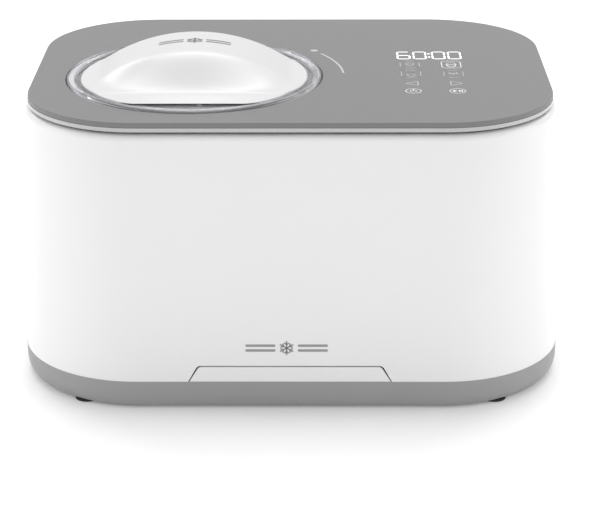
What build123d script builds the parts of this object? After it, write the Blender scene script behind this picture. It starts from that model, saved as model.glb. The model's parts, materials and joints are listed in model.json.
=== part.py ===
"""Countertop ice cream maker with its own compressor, as an assembly of separate pieces.

Millimetres, +Z up. The origin is on the surface it stands on, under the middle of the body.
The front faces -Y. The bowl axis is to the left of the middle, the cooling unit to the right.
"""

from build123d import *
import os
from math import acos, cos, exp, log, pi, radians, sin, sqrt, tan

os.makedirs("parts", exist_ok=True)

# ---------------------------------------------------------------- driving dimensions
DECK_WIDTH = 405.0          # grey top panel
DECK_DEPTH = 295.2
DECK_CORNER = 87.5
DECK_TOP = 229.6            # height of the top panel above the worktop
DECK_EDGE = 4.1             # visible thickness of the top panel

FOOT_GAP = 1.4              # the feet lift the base this far
BASE_TOP = 23.2
BASE_WIDTH = 427.0
BASE_DEPTH = 305.8
BASE_CORNER = 95.0
BASE_ROUND_HEIGHT = 12.0    # height of the rounding round the base's lower edge
BASE_ROUND_SIDE = 7.0       # how far that rounding draws in at the ends
BASE_ROUND_FRONT = 5.0      # and at the front and back

BODY_TOP = 220.4            # top of the white shell's shoulder
WALL = 2.6                  # moulded wall thickness
BASE_FLOOR = FOOT_GAP + WALL
AIR = 0.1                   # clearance between pieces that rest on each other

BOWL_X = -76.0              # bowl, paddle, lid and drive axis
BOWL_Y = -24.0
BOWL_INNER = 78.0
BOWL_WALL = 1.5
BOWL_FLOOR = 99.0           # inside of the bowl's floor
BOWL_RIM_TOP = 218.0

WELL_INNER = 80.6           # cold well around the bowl
WELL_WALL = 1.2
WELL_FLOOR = 95.6

LID_OUTER = 100.2           # clear lid
LID_HOLE = 101.3            # hole in the top panel
LID_RING_INNER = 93.2       # inner edge of the clear lid's raised rim
CAP_RADIUS = 89.3           # white grip plate on the clear lid
CAP_FRONT = -75.0           # straight front edge of the grip plate, from the lid's centre
CAP_BACK = 42.0
ARCH_HEIGHT = 24.2          # top of the grip's arch above the top panel
ARCH_RADIUS = 134.0
ARCH_FRONT = -16.0          # the arch keeps its full height from here to the back edge
ARCH_FOOT = -49.5           # foot of the sloping front face

SHAFT_RADIUS = 4.0
SHAFT_TOP = 170.0
RUNNING = 0.05              # radial clearance of a shaft in its bush

GEAR_MODULE = 1.25
MOTOR_TEETH = 12
IDLER_LARGE_TEETH = 48
IDLER_SMALL_TEETH = 14
DRIVE_TEETH = 49
PRESSURE_ANGLE = 20.0

COMPRESSOR_X = 112.0
COMPRESSOR_Y = -52.0
FAN_X = 100.0
FAN_Z = 92.0

BODY_SECTIONS = (           # height, width, depth, corner radius
    (BASE_TOP, 426.8, 305.6, 94.9),
    (75.0, 425.8, 305.2, 94.6),
    (140.0, 422.8, 303.4, 93.8),
    (175.0, 419.6, 301.6, 92.6),
    (205.0, 414.2, 298.8, 90.4),
    (BODY_TOP, 409.8, 296.6, 89.0),
)

BOWL_AXIS = Axis((BOWL_X, BOWL_Y, 0), (0, 0, 1))


# ---------------------------------------------------------------- helpers
def save(piece, name):
    """Label a finished piece and write its STEP file."""
    piece.part.label = name
    export_step(piece.part, f"parts/{name}.step")


def half_section(points, x=BOWL_X, y=BOWL_Y):
    """Face from (radius, height) points, standing in the vertical plane through (x, y)."""
    plane = Plane(origin=(x, y, 0), x_dir=(1, 0, 0), z_dir=(0, -1, 0))
    with BuildSketch(plane) as section:
        with BuildLine():
            Polyline(*points, close=True)
        make_face()
    return section.sketch


def rounded(height, width, depth, corner):
    """Level rounded rectangle at the given height, centred on the body."""
    with BuildSketch(Plane.XY.offset(height)) as outline:
        RectangleRounded(width, depth, corner)
    return outline.sketch


def inset(sections, amount):
    """The same sections, drawn in by an amount all round."""
    return [(z, w - 2 * amount, d - 2 * amount, r - amount) for z, w, d, r in sections]


def around_bowl(radius, angle):
    """Point at a radius and an angle in degrees from the bowl's axis."""
    turn = radians(angle)
    return (BOWL_X + radius * cos(turn), BOWL_Y + radius * sin(turn))


def tooth_outline(teeth, backlash):
    """Half of one tooth as (radius, half angle) pairs, from the root to the tip."""
    pitch = GEAR_MODULE * teeth / 2
    base = pitch * cos(radians(PRESSURE_ANGLE))
    tip = pitch + GEAR_MODULE * 0.95
    root = pitch - GEAR_MODULE * 1.25
    involute = tan(radians(PRESSURE_ANGLE)) - radians(PRESSURE_ANGLE)
    half_at_pitch = pi / (2 * teeth) - backlash / (2 * pitch)
    flank = []
    steps = 5
    start = max(base, root)
    for step in range(steps + 1):
        radius = start + (tip - start) * step / steps
        angle = acos(min(1.0, base / radius))
        flank.append((radius, half_at_pitch + involute - (tan(angle) - angle)))
    if root < start:
        flank.insert(0, (root, flank[0][1]))
    return flank


def gear_face(teeth, bore, x, y, height, phase, backlash=0.16):
    """Involute spur gear outline with a round bore, at a height, turned by a phase in radians."""
    flank = tooth_outline(teeth, backlash)
    points = []
    for tooth in range(teeth):
        middle = phase + 2 * pi * tooth / teeth
        points += [(r * cos(middle - a), r * sin(middle - a)) for r, a in flank]
        points += [(r * cos(middle + a), r * sin(middle + a)) for r, a in reversed(flank)]
    with BuildSketch(Plane((x, y, height))) as outline:
        with BuildLine():
            Polyline(*points, close=True)
        make_face()
        Circle(bore, mode=Mode.SUBTRACT)
    return outline.sketch


def tube(points, radii, outer, name):
    """Pipe along straight runs joined by tangent arcs."""
    with BuildPart() as piece:
        with BuildLine():
            path = FilletPolyline(*points, radius=radii)
        with BuildSketch(Plane(path @ 0, z_dir=path % 0)):
            Circle(outer)
        sweep(path=path)
    save(piece, name)


# ---------------------------------------------------------------- base
FOOT_PLACES = [(sx * 158.6, sy * 130.4) for sx in (-1, 1) for sy in (-1, 1)]
FOOT_RADIUS = 9.6
FOOT_PLUG = 4.0
PILLAR_RADIUS = 6.0
PILLAR_ANGLES = (60, 180, 300)
PILLAR_RING = 96.0
CASING_BOTTOM = 73.0
GEARBOX_FLOOR = 46.0        # underside of the gearbox plate
GEARBOX_POST_RADIUS = 4.5
COMPRESSOR_BOSS = 12.0      # height of the compressor's studs above the worktop
COMPRESSOR_BOSS_RADIUS = 7.0
COMPRESSOR_BOLT = 3.0
BASE_SCREW_HOLE = 2.2
FLOOR_VENT_Y = 34.0
COMPRESSOR_BOLTS = [
    (COMPRESSOR_X + sx * 58.0, COMPRESSOR_Y + sy * 46.0) for sx in (-1, 1) for sy in (-1, 1)
]
SCREW_X = 194.0
SCREW_Y = 62.0
BASE_SCREWS = [(sx * SCREW_X, sy * SCREW_Y) for sx in (-1, 1) for sy in (-1, 1)]

FIRST_CENTRES = GEAR_MODULE * (DRIVE_TEETH + IDLER_SMALL_TEETH) / 2
SECOND_CENTRES = GEAR_MODULE * (IDLER_LARGE_TEETH + MOTOR_TEETH) / 2
IDLER_X = BOWL_X + FIRST_CENTRES
IDLER_Y = BOWL_Y
MOTOR_ANGLE = -40.0
MOTOR_X = IDLER_X + SECOND_CENTRES * cos(radians(MOTOR_ANGLE))
MOTOR_Y = IDLER_Y + SECOND_CENTRES * sin(radians(MOTOR_ANGLE))
GEARBOX_POSTS = [
    (BOWL_X - 31.0, BOWL_Y - 26.0),
    (BOWL_X - 31.0, BOWL_Y + 26.0),
    (IDLER_X + 6.0, IDLER_Y + 40.0),
    (MOTOR_X + 24.0, MOTOR_Y + 26.0),
    (MOTOR_X - 26.0, MOTOR_Y - 26.0),
]

BASE_ROUND_STEPS = 10
BASE_WALL = 3.0
COVE_TOP = 9.0              # the inside corner at the floor is sloped up to here
COVE_WIDTH = 3.0
LIP_WALL = 2.4              # lip that stands inside the white shell
LIP_BOTTOM = 15.0
LIP_TOP = 27.0


def base_outline(height):
    """Outline of the base at a height: straight walls above an elliptical rounding."""
    below = max(0.0, FOOT_GAP + BASE_ROUND_HEIGHT - height) / BASE_ROUND_HEIGHT
    share = 1 - sqrt(1 - min(1.0, below) ** 2)
    side = BASE_ROUND_SIDE * share
    front = BASE_ROUND_FRONT * share
    return rounded(height, BASE_WIDTH - 2 * side, BASE_DEPTH - 2 * front, BASE_CORNER - front)


def base_inside(height, grow):
    """Outline of the base's inner wall, drawn in further by an amount."""
    inner = 2 * (BASE_WALL + grow)
    return rounded(height, BASE_WIDTH - inner, BASE_DEPTH - inner, BASE_CORNER - BASE_WALL - grow)


with BuildPart() as base_tray:
    round_step = BASE_ROUND_HEIGHT / BASE_ROUND_STEPS
    loft([base_outline(FOOT_GAP + round_step * step) for step in range(BASE_ROUND_STEPS + 1)])
    round_top = FOOT_GAP + BASE_ROUND_HEIGHT
    extrude(base_outline(round_top), amount=BASE_TOP - round_top)
    cove = [base_inside(BASE_FLOOR, COVE_WIDTH), base_inside(COVE_TOP, 0.0)]
    loft(cove, ruled=True, mode=Mode.SUBTRACT)
    extrude(base_inside(COVE_TOP, 0.0), amount=BASE_TOP, mode=Mode.SUBTRACT)
    extrude(base_inside(LIP_BOTTOM, 0.0), amount=LIP_TOP - LIP_BOTTOM)
    extrude(base_inside(LIP_BOTTOM, LIP_WALL), amount=LIP_TOP - LIP_BOTTOM, mode=Mode.SUBTRACT)
    with BuildSketch(Plane.XY.offset(FOOT_GAP)):
        with Locations(*[around_bowl(PILLAR_RING, angle) for angle in PILLAR_ANGLES]):
            Circle(PILLAR_RADIUS)
    extrude(amount=CASING_BOTTOM - FOOT_GAP)
    with BuildSketch(Plane.XY.offset(FOOT_GAP)):
        with Locations(*GEARBOX_POSTS):
            Circle(GEARBOX_POST_RADIUS)
    extrude(amount=GEARBOX_FLOOR - FOOT_GAP)
    with BuildSketch(Plane.XY.offset(FOOT_GAP)):
        with Locations(*COMPRESSOR_BOLTS):
            Circle(COMPRESSOR_BOSS_RADIUS)
    extrude(amount=COMPRESSOR_BOSS - FOOT_GAP)
    with BuildSketch(Plane.XY.offset(FOOT_GAP)):
        with Locations(*FOOT_PLACES):
            Circle(FOOT_PLUG)
        with Locations(*BASE_SCREWS):
            Circle(BASE_SCREW_HOLE)
    extrude(amount=WALL, mode=Mode.SUBTRACT)
    with BuildSketch(Plane.XY.offset(BASE_FLOOR)):
        with Locations(*COMPRESSOR_BOLTS):
            Circle(COMPRESSOR_BOLT + 0.1)
    extrude(amount=COMPRESSOR_BOSS - BASE_FLOOR, mode=Mode.SUBTRACT)
    with BuildSketch(Plane.XY.offset(FOOT_GAP)):
        with Locations((FAN_X, FLOOR_VENT_Y)):
            with GridLocations(0, 9.0, 1, 7):
                SlotOverall(70.0, 3.6)
    extrude(amount=WALL, mode=Mode.SUBTRACT)
save(base_tray, "base_tray")

with BuildPart() as rubber_feet:
    with BuildSketch(Plane.XY):
        with Locations(*FOOT_PLACES):
            Circle(FOOT_RADIUS)
    extrude(amount=FOOT_GAP, taper=4)
    with BuildSketch(Plane.XY.offset(FOOT_GAP)):
        with Locations(*FOOT_PLACES):
            Circle(FOOT_PLUG)
    extrude(amount=WALL)
    with BuildSketch(Plane.XY.offset(BASE_FLOOR)):
        with Locations(*FOOT_PLACES):
            Circle(FOOT_PLUG + 1.6)
    extrude(amount=2.0)
save(rubber_feet, "rubber_feet")

# ---------------------------------------------------------------- white body shell
HATCH_BOTTOM = 78.3         # half widths of the small clip-in cover low on the front
HATCH_TOP = 70.8
HATCH_HEIGHT = 13.4
HATCH_GAP = 1.05            # groove at the cover's sides and top
HATCH_FOOT_GAP = 0.15       # the cover all but rests on the base
HATCH_CORNER = 4.0
SHOULDER = 5.0
BOSS_TOP = 45.0             # bosses inside the shell for the base screws
INLET_X = -95.0
INLET_Z = 52.0
INLET_SEAT = 151.4          # the inlet's flange rests here, sunk into the back wall
SIDE_SLOTS = 11
DECK_SCREWS = [(sx * 193.4, sy * 40.0) for sx in (-1, 1) for sy in (-1, 1)]
SLOT_PITCH = 8.0


def hatch_outline(shrink):
    """Trapezoid with rounded upper corners, in the plane of the front wall."""
    low = BASE_TOP + min(shrink, HATCH_FOOT_GAP)
    high = BASE_TOP + HATCH_HEIGHT - shrink
    with BuildSketch(Plane.XZ) as outline:
        with BuildLine():
            Polyline(
                (-HATCH_BOTTOM + shrink, low),
                (HATCH_BOTTOM - shrink, low),
                (HATCH_TOP - shrink, high),
                (-HATCH_TOP + shrink, high),
                close=True,
            )
        make_face()
        fillet(outline.vertices().group_by(Axis.Y)[-1], HATCH_CORNER)
    return outline.sketch


def shell_block():
    """Hollow white body before any of its openings are cut."""
    inner = inset(BODY_SECTIONS, WALL)
    top = inner[-1]
    inner[-1] = (BODY_TOP - WALL, top[1], top[2], top[3])
    with BuildPart() as block:
        loft([rounded(*section) for section in BODY_SECTIONS])
        fillet(block.edges().group_by(Axis.Z)[-1], SHOULDER)
        loft([rounded(*section) for section in inner], mode=Mode.SUBTRACT)
        extrude(rounded(BODY_TOP - 8.0, 380.0, 270.0, 75.0), amount=10.0, mode=Mode.SUBTRACT)
    return block.part


with BuildPart() as body_shell:
    add(shell_block())
    extrude(hatch_outline(0.0), amount=170.0, mode=Mode.SUBTRACT)
    with BuildSketch(Plane.YZ):
        with Locations((-18.0, 105.0)):
            with GridLocations(0, SLOT_PITCH, 1, SIDE_SLOTS):
                SlotOverall(86.0, 3.4)
    extrude(amount=230.0, both=True, mode=Mode.SUBTRACT)
    with BuildSketch(Plane.XZ):
        with Locations((FAN_X, FAN_Z)):
            with GridLocations(0, SLOT_PITCH, 1, 13):
                SlotOverall(96.0, 3.6)
    extrude(amount=-170.0, mode=Mode.SUBTRACT)
    with BuildSketch(Plane.XZ.offset(-140.0)):
        with Locations((INLET_X, INLET_Z)):
            RectangleRounded(27.4, 20.4, 2.0)
    extrude(amount=-30.0, mode=Mode.SUBTRACT)
    with BuildSketch(Plane.XZ.offset(-151.4)):
        with Locations((INLET_X, INLET_Z)):
            RectangleRounded(50.4, 25.4, 4.0)
    extrude(amount=-20.0, mode=Mode.SUBTRACT)
    with BuildSketch(Plane.XY.offset(BODY_TOP - 4.0)):
        with Locations(*DECK_SCREWS):
            Circle(1.7)
    extrude(amount=6.0, mode=Mode.SUBTRACT)
    with BuildSketch(Plane.XY.offset(BASE_FLOOR + 0.2)):
        with Locations(*BASE_SCREWS):
            Rectangle(14.0, 10.0)
    extrude(amount=BOSS_TOP - BASE_FLOOR - 0.2)
    with BuildSketch(Plane.XY.offset(30.0)):
        with Locations(*[(x + (7.0 if x > 0 else -7.0), y) for x, y in BASE_SCREWS]):
            Rectangle(22.0, 10.0)
    extrude(amount=BOSS_TOP - 30.0)
    with BuildSketch(Plane.XY.offset(BASE_FLOOR)):
        with Locations(*BASE_SCREWS):
            Circle(2.0)
    extrude(amount=20.0, mode=Mode.SUBTRACT)
save(body_shell, "body_shell")

with BuildPart() as front_hatch:
    add(shell_block())
    extrude(hatch_outline(HATCH_GAP), amount=170.0, mode=Mode.INTERSECT)
save(front_hatch, "front_hatch")

# ---------------------------------------------------------------- top panel and its frame
TRIM_BOTTOM = 222.1
TRIM_TOP = DECK_TOP - DECK_EDGE
FRAME_BOTTOM = 217.4
FRAME_PLATE = 2.4
FRAME_OUTER = (398.6, 288.8, 84.3)
COLLAR_OUTER = 100.0
COLLAR_FLANGE = 106.0
PANEL_SKIN = 2.5
DISPLAY_X = 111.5
DISPLAY_Y = 32.0
BOARD_X = 111.5
BOARD_Y = -16.0
BOARD_WIDTH = 78.0
BOARD_DEPTH = 128.0
BOARD_THICK = 1.6
BOARD_TOP = BODY_TOP + FRAME_PLATE + BOARD_THICK
PANEL_UNDERSIDE = DECK_TOP - PANEL_SKIN
KEY_PLACES = [(x, y) for y in (5.8, -20.4, -46.8, -67.2) for x in (95.0, 128.5)]

with BuildPart() as deck_frame:
    extrude(rounded(BODY_TOP, *FRAME_OUTER), amount=FRAME_PLATE)
    extrude(rounded(BODY_TOP + FRAME_PLATE, *FRAME_OUTER), amount=TRIM_TOP - BODY_TOP - FRAME_PLATE)
    extrude(
        rounded(BODY_TOP + FRAME_PLATE, FRAME_OUTER[0] - 5.0, FRAME_OUTER[1] - 5.0, FRAME_OUTER[2] - 2.5),
        amount=TRIM_TOP - BODY_TOP,
        mode=Mode.SUBTRACT,
    )
    extrude(rounded(FRAME_BOTTOM - 2.0, 379.0, 269.0, 74.5), amount=BODY_TOP - FRAME_BOTTOM + 2.0)
    extrude(
        rounded(FRAME_BOTTOM - 2.0, 375.0, 265.0, 72.5),
        amount=BODY_TOP - FRAME_BOTTOM + 2.0,
        mode=Mode.SUBTRACT,
    )
    with BuildSketch(Plane.XY.offset(BODY_TOP)):
        with Locations((BOWL_X, BOWL_Y)):
            Circle(COLLAR_OUTER + AIR)
        with Locations((BOARD_X, BOARD_Y)):
            Rectangle(BOARD_WIDTH - 6.0, BOARD_DEPTH - 6.0)
    extrude(amount=FRAME_PLATE, mode=Mode.SUBTRACT)
    with BuildSketch(Plane.XY.offset(BODY_TOP - 1.0)):
        with Locations(*DECK_SCREWS):
            Circle(1.7)
    extrude(amount=FRAME_PLATE + 1.0, mode=Mode.SUBTRACT)
save(deck_frame, "deck_frame")

with BuildPart() as top_trim:
    extrude(rounded(TRIM_BOTTOM, 405.6, 295.8, 87.8), amount=TRIM_TOP - TRIM_BOTTOM)
    chamfer(top_trim.edges().group_by(Axis.Z)[0], 0.5)
    extrude(rounded(TRIM_BOTTOM - 1.0, FRAME_OUTER[0] + 0.1, FRAME_OUTER[1] + 0.1, FRAME_OUTER[2]),
            amount=TRIM_TOP, mode=Mode.SUBTRACT)
save(top_trim, "top_trim")

with BuildPart() as deck_panel:
    extrude(rounded(TRIM_TOP, DECK_WIDTH, DECK_DEPTH, DECK_CORNER), amount=DECK_EDGE)
    fillet(deck_panel.edges().group_by(Axis.Z)[-1], 1.0)
    extrude(rounded(TRIM_TOP, 393.0, 283.2, 81.5), amount=DECK_EDGE - PANEL_SKIN, mode=Mode.SUBTRACT)
    with BuildSketch(Plane.XY.offset(TRIM_TOP)):
        with Locations((BOWL_X, BOWL_Y)):
            Circle(LID_HOLE)
    extrude(amount=DECK_EDGE, mode=Mode.SUBTRACT)
    hole_edges = deck_panel.edges().filter_by(GeomType.CIRCLE).group_by(Axis.Z)[-1]
    fillet(hole_edges.sort_by(SortBy.RADIUS)[-1], 0.5)
save(deck_panel, "deck_panel")

with BuildPart() as control_board:
    with BuildSketch(Plane.XY.offset(BODY_TOP + FRAME_PLATE)):
        with Locations((BOARD_X, BOARD_Y)):
            RectangleRounded(BOARD_WIDTH, BOARD_DEPTH, 2.0)
    extrude(amount=BOARD_THICK)
save(control_board, "control_board")

with BuildPart() as display_module:
    with BuildSketch(Plane.XY.offset(BOARD_TOP)):
        with Locations((DISPLAY_X, DISPLAY_Y)):
            Rectangle(58.0, 25.0)
    extrude(amount=PANEL_UNDERSIDE - BOARD_TOP - AIR)
    chamfer(display_module.edges().group_by(Axis.Z)[-1], 0.3)
save(display_module, "display_module")

with BuildPart() as touch_contacts:
    with BuildSketch(Plane.XY.offset(BOARD_TOP)):
        with Locations(*KEY_PLACES):
            Circle(5.0)
            Circle(3.8, mode=Mode.SUBTRACT)
    extrude(amount=PANEL_UNDERSIDE - BOARD_TOP - AIR)
save(touch_contacts, "touch_contacts")

with BuildPart() as deck_screws:
    with BuildSketch(Plane.XY.offset(BODY_TOP + FRAME_PLATE)):
        with Locations(*DECK_SCREWS):
            Circle(3.0)
    extrude(amount=2.0)
    with BuildSketch(Plane.XY.offset(BODY_TOP - 0.9)):
        with Locations(*DECK_SCREWS):
            Circle(1.6)
    extrude(amount=FRAME_PLATE + 0.9)
save(deck_screws, "deck_screws")

# ---------------------------------------------------------------- collar, well, foam
LEDGE_TOP = 216.1           # the bowl's rim rests here
LEDGE_BOTTOM = 214.6
COLLAR_TOP = 227.4
COLLAR_INNER = 94.9
TAB_POCKET = 98.2
TAB_TRAVEL = 34.0           # degrees the lid turns from locked to free
TAB_ANGLES = (95.0, 215.0, 335.0)
TAB_HALF = 5.0              # half width of a lid tab, degrees
TAB_BOTTOM = 221.0
WELL_RIM = 92.0
POST_OUTER = 8.5
POST_INNER = 6.5
POST_TOP = 138.0

with BuildPart() as well_collar:
    revolve(
        half_section(
            [
                (84.0, LEDGE_BOTTOM),
                (COLLAR_OUTER, LEDGE_BOTTOM),
                (COLLAR_OUTER, BODY_TOP + FRAME_PLATE),
                (COLLAR_FLANGE, BODY_TOP + FRAME_PLATE),
                (COLLAR_FLANGE, 227.0),
                (LID_HOLE - 0.2, 227.0),
                (LID_HOLE - 0.2, COLLAR_TOP),
                (COLLAR_INNER, COLLAR_TOP),
                (COLLAR_INNER, LEDGE_TOP),
                (84.0, LEDGE_TOP),
            ]
        ),
        axis=BOWL_AXIS,
    )
    for tab_angle in TAB_ANGLES:
        first = radians(tab_angle - TAB_HALF - 1.0)
        last = radians(tab_angle + TAB_HALF + TAB_TRAVEL + 1.0)
        middle = (first + last) / 2
        with BuildSketch(Plane((BOWL_X, BOWL_Y, TAB_BOTTOM - 0.4))) as pocket:
            with BuildLine():
                inner_first = (93.0 * cos(first), 93.0 * sin(first))
                inner_last = (93.0 * cos(last), 93.0 * sin(last))
                outer_first = (TAB_POCKET * cos(first), TAB_POCKET * sin(first))
                outer_middle = (TAB_POCKET * cos(middle), TAB_POCKET * sin(middle))
                outer_last = (TAB_POCKET * cos(last), TAB_POCKET * sin(last))
                inner_middle = (93.0 * cos(middle), 93.0 * sin(middle))
                Line(inner_first, outer_first)
                ThreePointArc(outer_first, outer_middle, outer_last)
                Line(outer_last, inner_last)
                ThreePointArc(inner_last, inner_middle, inner_first)
            make_face()
        extrude(amount=10.0, mode=Mode.SUBTRACT)
save(well_collar, "well_collar")

WELL_OUTER = WELL_INNER + WELL_WALL
with BuildPart() as freezer_well:
    revolve(
        half_section(
            [
                (POST_INNER, WELL_FLOOR - WELL_WALL),
                (WELL_OUTER, WELL_FLOOR - WELL_WALL),
                (WELL_OUTER, LEDGE_BOTTOM - 1.4),
                (WELL_RIM, LEDGE_BOTTOM - 1.4),
                (WELL_RIM, LEDGE_BOTTOM),
                (WELL_INNER, LEDGE_BOTTOM),
                (WELL_INNER, WELL_FLOOR),
                (POST_OUTER, WELL_FLOOR),
                (POST_OUTER, POST_TOP),
                (POST_INNER, POST_TOP),
            ]
        ),
        axis=BOWL_AXIS,
    )
    floor_edge = freezer_well.edges().filter_by(GeomType.CIRCLE).group_by(Axis.Z)[0]
    fillet(floor_edge.sort_by(SortBy.RADIUS)[-1], 1.0)
save(freezer_well, "freezer_well")

COIL_TUBE = 3.0
COIL_RADIUS = WELL_OUTER + COIL_TUBE + 0.15
COIL_BOTTOM = 106.0
COIL_TURNS = 7
COIL_PITCH = 13.0
COIL_ENDS = (COIL_BOTTOM, COIL_BOTTOM + COIL_PITCH * COIL_TURNS)
with BuildPart() as evaporator_coil:
    with BuildLine(Plane((BOWL_X, BOWL_Y, COIL_BOTTOM))) as coil_line:
        Helix(pitch=COIL_PITCH, height=COIL_PITCH * COIL_TURNS, radius=COIL_RADIUS)
    coil_path = coil_line.edges()[0]
    with BuildSketch(Plane(coil_path @ 0, z_dir=coil_path % 0)):
        Circle(COIL_TUBE)
    sweep(path=coil_path, is_frenet=True)
save(evaporator_coil, "evaporator_coil")

FOAM_INNER = COIL_RADIUS + COIL_TUBE + 0.4
FOAM_OUTER = 105.8
with BuildPart() as insulation_foam:
    revolve(
        half_section(
            [
                (POST_OUTER + 0.4, CASING_BOTTOM + 2.2),
                (FOAM_OUTER, CASING_BOTTOM + 2.2),
                (FOAM_OUTER, LEDGE_BOTTOM - 2.0),
                (FOAM_INNER, LEDGE_BOTTOM - 2.0),
                (FOAM_INNER, WELL_FLOOR - WELL_WALL - AIR),
                (POST_OUTER + 0.4, WELL_FLOOR - WELL_WALL - AIR),
            ]
        ),
        axis=BOWL_AXIS,
    )
    with BuildSketch(Plane.YZ.offset(BOWL_X + COIL_RADIUS)):
        with Locations(*[(BOWL_Y, height) for height in COIL_ENDS]):
            Circle(4.0)
    extrude(amount=30.0, mode=Mode.SUBTRACT)
save(insulation_foam, "insulation_foam")

with BuildPart() as foam_casing:
    revolve(
        half_section(
            [
                (POST_OUTER + 0.4, CASING_BOTTOM),
                (FOAM_OUTER + 2.2, CASING_BOTTOM),
                (FOAM_OUTER + 2.2, LEDGE_BOTTOM - 2.0),
                (FOAM_OUTER + 0.1, LEDGE_BOTTOM - 2.0),
                (FOAM_OUTER + 0.1, CASING_BOTTOM + 2.1),
                (POST_OUTER + 0.4, CASING_BOTTOM + 2.1),
            ]
        ),
        axis=BOWL_AXIS,
    )
    with BuildSketch(Plane.YZ.offset(BOWL_X + COIL_RADIUS)):
        with Locations(*[(BOWL_Y, height) for height in COIL_ENDS]):
            Circle(4.0)
    extrude(amount=30.0, mode=Mode.SUBTRACT)
save(foam_casing, "foam_casing")

# ---------------------------------------------------------------- drive: gears, shaft, motor
GEARBOX_PLATE = 3.0
GEARBOX_FLOOR_TOP = GEARBOX_FLOOR + GEARBOX_PLATE
LOW_GEAR = 51.0
LOW_GEAR_WIDTH = 6.0
HIGH_GEAR = 58.4
HIGH_GEAR_WIDTH = 8.4
GEARBOX_ROOF = 69.4
GEARBOX_TOP = 71.6
GEARBOX_LOBES = (
    (BOWL_X, BOWL_Y, 36.0),
    (IDLER_X, IDLER_Y, 36.0),
    (MOTOR_X, MOTOR_Y, 30.5),
)
IDLER_PIN = 3.0
MOTOR_PIN = 2.5


def gearbox_outline(height, grow):
    """Rounded outline round the three axes of the gear train."""
    with BuildSketch(Plane.XY.offset(height)) as outline:
        for x, y, radius in GEARBOX_LOBES:
            with Locations((x, y)):
                Circle(radius + grow)
        make_hull()
        if grow == 0.0:
            with Locations(*GEARBOX_POSTS):
                Circle(7.0)
    return outline.sketch


def boss_points():
    """Screw bosses of the gearbox, on the posts of the base."""
    return Locations(*GEARBOX_POSTS)


with BuildPart() as gearbox_plate:
    extrude(gearbox_outline(GEARBOX_FLOOR, 0.0), amount=GEARBOX_PLATE)
    with BuildSketch(Plane.XY.offset(GEARBOX_FLOOR)):
        with Locations((BOWL_X, BOWL_Y)):
            Circle(8.0)
        with Locations((IDLER_X, IDLER_Y)):
            Circle(IDLER_PIN)
        with Locations((MOTOR_X, MOTOR_Y)):
            Circle(6.0)
        with boss_points():
            Circle(2.1)
    extrude(amount=GEARBOX_PLATE, mode=Mode.SUBTRACT)
save(gearbox_plate, "gearbox_plate")

with BuildPart() as gearbox_cover:
    extrude(gearbox_outline(GEARBOX_FLOOR_TOP, 0.0), amount=GEARBOX_TOP - GEARBOX_FLOOR_TOP)
    extrude(
        gearbox_outline(GEARBOX_FLOOR_TOP, -2.2),
        amount=GEARBOX_ROOF - GEARBOX_FLOOR_TOP,
        mode=Mode.SUBTRACT,
    )
    with BuildSketch(Plane.XY.offset(GEARBOX_FLOOR_TOP + 4.0)):
        with boss_points():
            Circle(4.0)
    extrude(amount=GEARBOX_TOP, mode=Mode.SUBTRACT)
    with BuildSketch(Plane.XY.offset(GEARBOX_FLOOR_TOP)):
        with Locations((BOWL_X, BOWL_Y)):
            Circle(POST_OUTER + 0.4)
        with boss_points():
            Circle(2.1)
    extrude(amount=GEARBOX_TOP, mode=Mode.SUBTRACT)
save(gearbox_cover, "gearbox_cover")

with BuildPart() as gearbox_screws:
    with BuildSketch(Plane.XY.offset(GEARBOX_FLOOR_TOP + 4.0)):
        with boss_points():
            Circle(3.6)
    extrude(amount=2.4)
    with BuildSketch(Plane.XY.offset(GEARBOX_FLOOR + 0.1)):
        with boss_points():
            Circle(2.0)
    extrude(amount=GEARBOX_PLATE + 4.0)
save(gearbox_screws, "gearbox_screws")

with BuildPart() as lower_bearing:
    with BuildSketch(Plane.XY.offset(GEARBOX_FLOOR)):
        with Locations((BOWL_X, BOWL_Y)):
            Circle(8.0)
            Circle(SHAFT_RADIUS + RUNNING, mode=Mode.SUBTRACT)
    extrude(amount=7.0)
save(lower_bearing, "lower_bearing")

with BuildPart() as shaft_bush:
    with BuildSketch(Plane.XY.offset(112.0)):
        with Locations((BOWL_X, BOWL_Y)):
            Circle(POST_INNER)
            Circle(SHAFT_RADIUS + RUNNING, mode=Mode.SUBTRACT)
    extrude(amount=POST_TOP - 112.0)
save(shaft_bush, "shaft_bush")

with BuildPart() as shaft_seal:
    revolve(
        half_section(
            [
                (SHAFT_RADIUS + 0.08, POST_TOP),
                (POST_OUTER, POST_TOP),
                (POST_OUTER, POST_TOP + 1.6),
                (SHAFT_RADIUS + 1.6, POST_TOP + 3.4),
                (SHAFT_RADIUS + 0.08, POST_TOP + 3.4),
            ]
        ),
        axis=BOWL_AXIS,
    )
save(shaft_seal, "shaft_seal")

SHAFT_BOTTOM = 44.0
HEX_BOTTOM = 152.0
HEX_FLATS = 6.4
with BuildPart() as drive_shaft:
    with BuildSketch(Plane.XY.offset(SHAFT_BOTTOM)):
        with Locations((BOWL_X, BOWL_Y)):
            Circle(SHAFT_RADIUS)
    extrude(amount=HEX_BOTTOM - SHAFT_BOTTOM)
    with BuildSketch(Plane.XY.offset(HEX_BOTTOM)):
        with Locations((BOWL_X, BOWL_Y)):
            RegularPolygon(HEX_FLATS / 2, 6, major_radius=False)
    extrude(amount=SHAFT_TOP - HEX_BOTTOM)
    chamfer(drive_shaft.edges().group_by(Axis.Z)[-1], 0.6)
save(drive_shaft, "drive_shaft")

# The gears mesh along the lines between their axes: a tooth of one faces a gap of the other.
DRIVE_PHASE = 0.0
IDLER_SMALL_PHASE = pi + pi / IDLER_SMALL_TEETH
IDLER_LARGE_PHASE = radians(MOTOR_ANGLE)
MOTOR_PHASE = radians(MOTOR_ANGLE) + pi + pi / MOTOR_TEETH

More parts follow.
